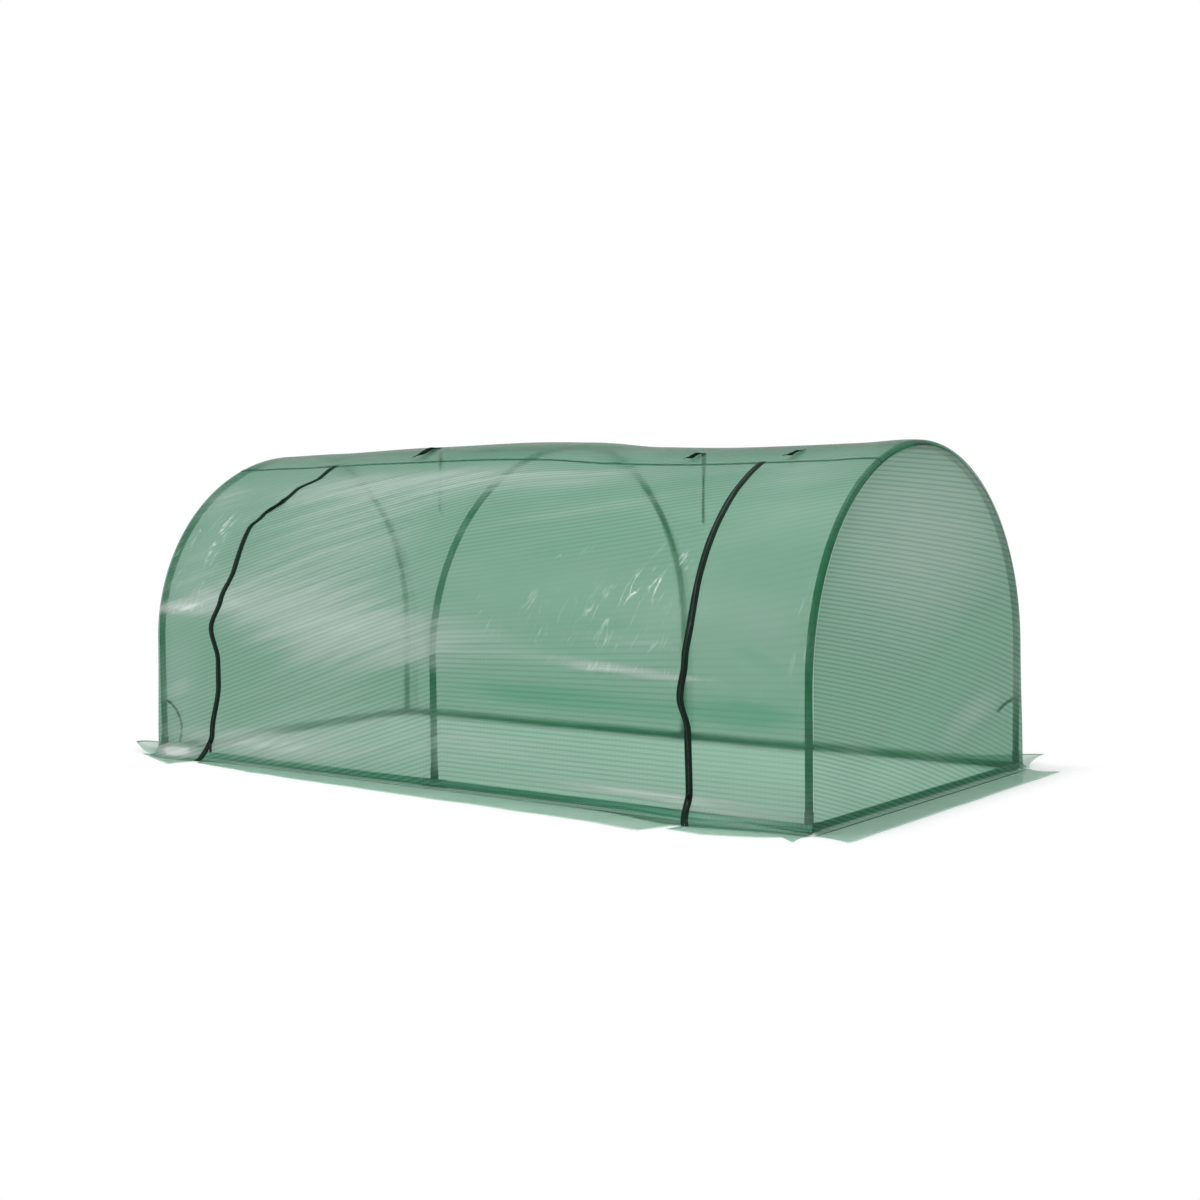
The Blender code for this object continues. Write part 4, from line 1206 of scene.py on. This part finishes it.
def buildSkirt(node, inner, outer, grid, flat, body="frame_and_cover",
               lift=lambda x, y, v: 0.0):
    # inner and outer are lines on the ground; the grid runs from one to the other
    def flatOf(u, v):
        return evenPoint(inner, u).lerp(evenPoint(outer, u), v)

    def placeOf(v, x, y):
        wave = noise.noise(Vector((x * 9.0, y * 9.0, 2.0))) + 0.6
        z = skirtSettings["low"] + skirtSettings["wave"] * max(0.0, wave) * v
        return Vector((x, y, z + lift(x, y, v)))

    skirt, area = buildSheet(pieceName(node), [node], grid, placeOf, flatOf, (0, 0, -1),
                             body=body, materials=(filmLaidLighter, filmInner))
    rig.sheet(skirt, flat=flat, held="laid", rests_on=["the ground"], area=area)


def buildSkirts():
    settings = skirtSettings
    wall = shape["archRadius"] + settings["fromWall"]
    seam = shape["halfLength"] + settings["fromEnd"]
    far = wall + settings["fullness"]
    tips = {corner: cornerCurve(*corner.split("_")) for corner in cornerTips}
    flare = Vector((settings["flareX"], shape["archRadius"] + settings["width"]))
    buildSkirt("skirt_back", ground((-seam, wall), (seam, wall)),
               [*reversed(tips["left_back"][0]), flare, *tips["right_back"][0]], (150, 10),
               (2.1, 0.17), lift=curl((0.99, 0.66), 0.12, 0.016))
    for endName, end in ends.items():
        front, rear = tips[f"{endName}_front"][1], tips[f"{endName}_back"][1]
        x = end * (seam + shape["clearance"])
        buildSkirt(f"skirt_{endName}", ground((x, -wall), (x, wall)), [*front, *reversed(rear)],
                   (80, 10), (0.12, 1.1),
                   lift=curl(front[-1], 0.10, 0.022 if end < 0 else 0.0))
    # the front skirt in three, parted under the zips
    leftX, rightX = zipX("left", 0.0), zipX("right", 0.0)
    root = -wall - 0.006
    buildSkirt("skirt_front_left", ground((-seam, -wall), (leftX - 0.002, -far)),
               [*reversed(tips["left_front"][0])], (20, 8), (0.22, 0.12))
    buildSkirt("skirt_front_right",
               ground((rightX + 0.004, root), (0.86, -far), (seam, -wall)),
               ground((0.719, -0.612), (0.81, -0.619), (0.927, -0.577), (0.965, -0.553),
                      *tips["right_front"][0]), (36, 12), (0.34, 0.12))
    buildSkirt("door_skirt",
               ground((leftX + 0.002, -far), (-0.6, -wall), (0.4, -wall), (rightX - 0.004, root)),
               ground((-0.785, -0.558), (-0.562, -0.586), (-0.302, -0.602), (0.098, -0.620),
                      (0.508, -0.635), (0.680, -0.658)), (120, 10), (1.52, 0.16), body="door")


buildSkirts()
print("skirts made")


# Zips

zipSettings = {"width": 0.009, "gap": 0.0006, "tape": 0.0007, "out": 0.0003, "pitch": 0.003,
               "tooth": (0.0030, 0.0010, 0.0011), "pinchAt": 0.703, "pinchHalf": 0.022,
               "turn": 8.0, "sway": 22.0, "mostTurn": 80.0, "firstTooth": 0.006,
               "lastTooth": 0.010, "toothLap": 0.3}


def zipTwist(name, length):
    # the ribbon rises along its middle and turns nearly edge-on where the film is slack
    settings = zipSettings
    rest = ease((length - 0.11) / 0.06) * ease((doorTop - length) / 0.03)
    sway = noise.noise(Vector((zipX(name, length) * 3.0, length * 17.0, 1.7)))
    degrees = settings["turn"] + settings["sway"] * sway + zips[name]["turn"]
    degrees += zips[name]["pinch"] * hump(length, settings["pinchAt"], settings["pinchHalf"])
    return math.radians(within(degrees, 0.0, settings["mostTurn"])) * rest


def zipPlace(name, length, across, out):
    # a point of the zip: across its middle line, and out from the film
    turn = zipTwist(name, length)
    rise = (zipSettings["width"] - abs(across)) * math.sin(turn)
    return wallPlace(zipX(name, length) + across * math.cos(turn), length, out + max(0.0, rise))


def zipSide(name, part):
    # which side of the zip's middle line it is on
    return zips[name]["doorSide"] * (1 if part == "door" else -1)


def carry(piece, part):
    if part == "door":
        blendDoor(piece)
    else:
        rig.ride(piece, "frame_and_cover")


def buildTape(name, part):
    settings = zipSettings
    side, node = zipSide(name, part), f"zip_{name}_{part}_tape"
    near, far = side * settings["gap"] / 2, side * settings["width"]

    def flatOf(u, v):
        return near + (far - near) * u, frontSpan[1] * v

    def placeOf(v, across, length):
        return zipPlace(name, length, across, settings["out"] + settings["tape"])

    tape = buildSheet(pieceName(node), [node], (3, 160), placeOf, flatOf, insideTunnel,
                      film=settings["tape"], slotName="zip_tape", materials=(zipRibbon,))[0]
    carry(tape, part)


def buildTeeth(name, part):
    # one row of coil turns; each is a small block that leans over the zip's middle
    settings = zipSettings
    side = zipSide(name, part)
    across, along, high = settings["tooth"]
    size = Matrix.Diagonal((across, along, high, 1.0))
    lift = settings["out"] + settings["tape"] + high / 2
    middle = side * across * settings["toothLap"]
    bm = bmesh.new()
    for index in range(int((doorTop - settings["lastTooth"]) / settings["pitch"])):
        length = settings["firstTooth"] + settings["pitch"] * (index + (0.5 if side > 0 else 0.0))
        here = zipPlace(name, length, middle, lift)
        way = (zipPlace(name, length + 0.002, middle, lift) - here).normalized()
        outward = (here - zipPlace(name, length, middle, 0.0)).normalized()
        sideways = way.cross(outward).normalized()
        turn = Matrix((sideways, way, sideways.cross(way))).transposed().to_4x4()
        bmesh.ops.create_cube(bm, size=1.0, matrix=Matrix.Translation(here) @ turn @ size)
    teeth = addPiece(pieceName(f"zip_{name}_{part}_teeth"), bm, [coilPlastic], [], "zip_tape",
                     None, smoothFaces=False)
    carry(teeth, part)


for zipName in zips:
    for buildPart in (buildTape, buildTeeth):
        buildPart(zipName, "door")
        buildPart(zipName, "cover")
print("zips made")


# Ties

tieSettings = {"width": 0.012, "thick": 0.001, "grid": (4, 24), "innerLength": 0.165,
               "freeDegrees": 68.6, "outerBend": 0.025, "innerBend": 0.030, "sway": 0.005,
               "out": 0.0013, "curl": 0.008, "under": 0.0018, "twist": 34.0}
tiePlaces = {
    "left": {"x": -0.375, "degrees": 83.0, "lean": 0.020, "turn": 72.0, "inner": True},
    "middle": {"x": 0.495, "degrees": 76.0, "lean": -0.008, "turn": 66.0, "inner": True},
    "right": {"x": 0.765, "degrees": 76.0, "lean": -0.010, "turn": 48.0, "inner": False},
}


def addTie(node, placeOf, flatOf, inside, root, bent):
    # a strip of webbing that is sewn on at its root, so it bends over its first stretch
    tie = buildSheet(pieceName(node), [node], tieSettings["grid"], placeOf, flatOf, inside,
                     film=tieSettings["thick"], slotName="tie_webbing", materials=(tieRibbon,))[0]
    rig.blend(tie, "frame_and_cover", node, start=root, end=bent)


def buildOuterTie(name, tie):
    settings = tieSettings
    start, stop = lengthAt(settings["freeDegrees"]), lengthAt(tie["degrees"])

    def flatOf(u, v):
        return (u - 0.5) * settings["width"], start + (stop - start) * v

    def placeOf(v, across, length):
        bend = settings["sway"] * math.sin(math.pi * v * 1.4)
        turn = math.radians(tie["turn"]) * hump(v, 0.42, 0.30)
        x = tie["x"] + (tie["lean"] + bend) * (1 - v) + across * math.cos(turn)
        rise = (across + settings["width"] / 2) * math.sin(turn)
        curled = settings["curl"] * ease((0.4 - v) / 0.4)
        return wallPlace(x, length, settings["out"] + curled + rise)

    addTie(f"tie_{name}_outer", placeOf, flatOf, insideTunnel, wallPlace(tie["x"], stop),
           wallPlace(tie["x"], stop - settings["outerBend"]))


def buildInnerTie(name, tie):
    settings = tieSettings
    y, z = sectionPoint(lengthAt(tie["degrees"]), -settings["under"])

    def flatOf(u, v):
        return (u - 0.5) * settings["width"], settings["innerLength"] * v

    def placeOf(v, across, down):
        twist = math.radians(settings["twist"]) * ease(v * 3 - 0.3)
        top = settled((tie["x"] + across * math.cos(twist), y - across * math.sin(twist), z))
        return Vector((top.x, top.y, top.z - down))

    root = placeOf(0, 0, 0)
    addTie(f"tie_{name}_inner", placeOf, flatOf, (tie["x"], 1, z), root,
           root - Vector((0, 0, settings["innerBend"])))


for tieName, tiePlace in tiePlaces.items():
    buildOuterTie(tieName, tiePlace)
    if tiePlace["inner"]:
        buildInnerTie(tieName, tiePlace)
print("ties made")


# Remaining CAD nodes keep their shape and take the finished materials

for endName in ends:
    for keptNode, material in ((f"zip_slider_{endName}", enamel), (f"zip_pull_{endName}", enamel),
                               (f"frame_tie_{endName}", tieRibbon)):
        node = frame["nodes"][keptNode]
        node.data.materials.clear()
        node.data.materials.append(material)


# Studio

studioSettings = {"floor": "#FBFBFB", "size": 30.0, "floorZ": -0.0008, "world": 0.70,
                  "footprint": (1.05, 0.56), "fade": 0.12, "glow": 0.22}


def seenDirectly(tree):
    # 1 for what the camera sees, also in metal and through film
    seen = addNode(tree, "LightPath", out=None)
    mirrored = addNode(tree, "Math", [seen["Is Glossy Ray"], seen["Is Transmission Ray"]], **most)
    return addNode(tree, "Math", [seen["Is Camera Ray"], mirrored], **most)


def buildFloor(settings):
    # white paper that shows plain white away from the tunnel and keeps its shadow near it, lightened there by a share
    # of painted glow
    bm = bmesh.new()
    bmesh.ops.create_grid(bm, x_segments=1, y_segments=1, size=settings["size"])
    bmesh.ops.translate(bm, verts=bm.verts, vec=(0, 0, settings["floorZ"]))
    floor = meshObject("studioFloor", bm)
    material, tree = startMaterial("white_paper_floor")
    split = addNode(tree, "SeparateXYZ", [addNode(tree, "TexCoord", out="Object")], None)
    past = []
    for axis, half in zip("XY", settings["footprint"]):
        reach = addNode(tree, "Math", [split[axis]], **absolute)
        past.append(addNode(tree, "Math", [reach, half], **minus))
    far = addNode(tree, "Math", past, **most)
    # inside the footprint the paper still glows at the glow share, painted light that lightens its shadow
    away = addNode(tree, "MapRange", [far, 0.0, settings["fade"], settings["glow"], 1.0], **smooth)
    share = addNode(tree, "Math", [away, seenDirectly(tree)], **times)
    paper = addNode(tree, "BsdfDiffuse", {"Color": linearColour(settings["floor"])})
    glowing = addNode(tree, "Emission", {"Color": white, "Strength": 1.0})
    endMaterial(tree, addNode(tree, "MixShader", [share, paper, glowing]))
    floor.data.materials.append(material)
    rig.stage(floor)


def buildWorld(settings):
    world = bpy.data.worlds.new("studio")
    bpy.context.scene.world = world
    world.use_nodes = True
    tree = world.node_tree
    tree.nodes.clear()
    strength = addNode(tree, "Mix", {0: seenDirectly(tree), 2: settings["world"], 3: 1.0},
                       data_type="FLOAT")
    backdrop = addNode(tree, "Background", {"Color": white, "Strength": strength})
    addNode(tree, "OutputWorld", {"Surface": backdrop}, None)


def addSoftbox(name, place, target, size, power):
    data = bpy.data.lights.new(name, "AREA")
    data.shape = "RECTANGLE"
    data.size, data.size_y = size
    data.energy = power
    lamp = linkObject(name, data)
    lamp.location = place
    lamp.rotation_mode = "QUATERNION"
    lamp.rotation_quaternion = (Vector(target) - Vector(place)).to_track_quat("-Z", "Y")


buildFloor(studioSettings)
buildWorld(studioSettings)
addSoftbox("overheadSoftbox", (0.2, -0.6, 3.4), (0, 0, 0.4), (3.2, 1.6), 70)
addSoftbox("keySoftbox", (-2.5, -4.5, 3.0), (0, 0, 0.3), (1.6, 1.2), 40)
print("studio made")

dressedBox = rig.bounds()
with open("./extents.json", "w") as sizes:
    json.dump({"cad": [list(corner) for corner in cadBox],
               "visual": [list(corner) for corner in dressedBox]}, sizes)
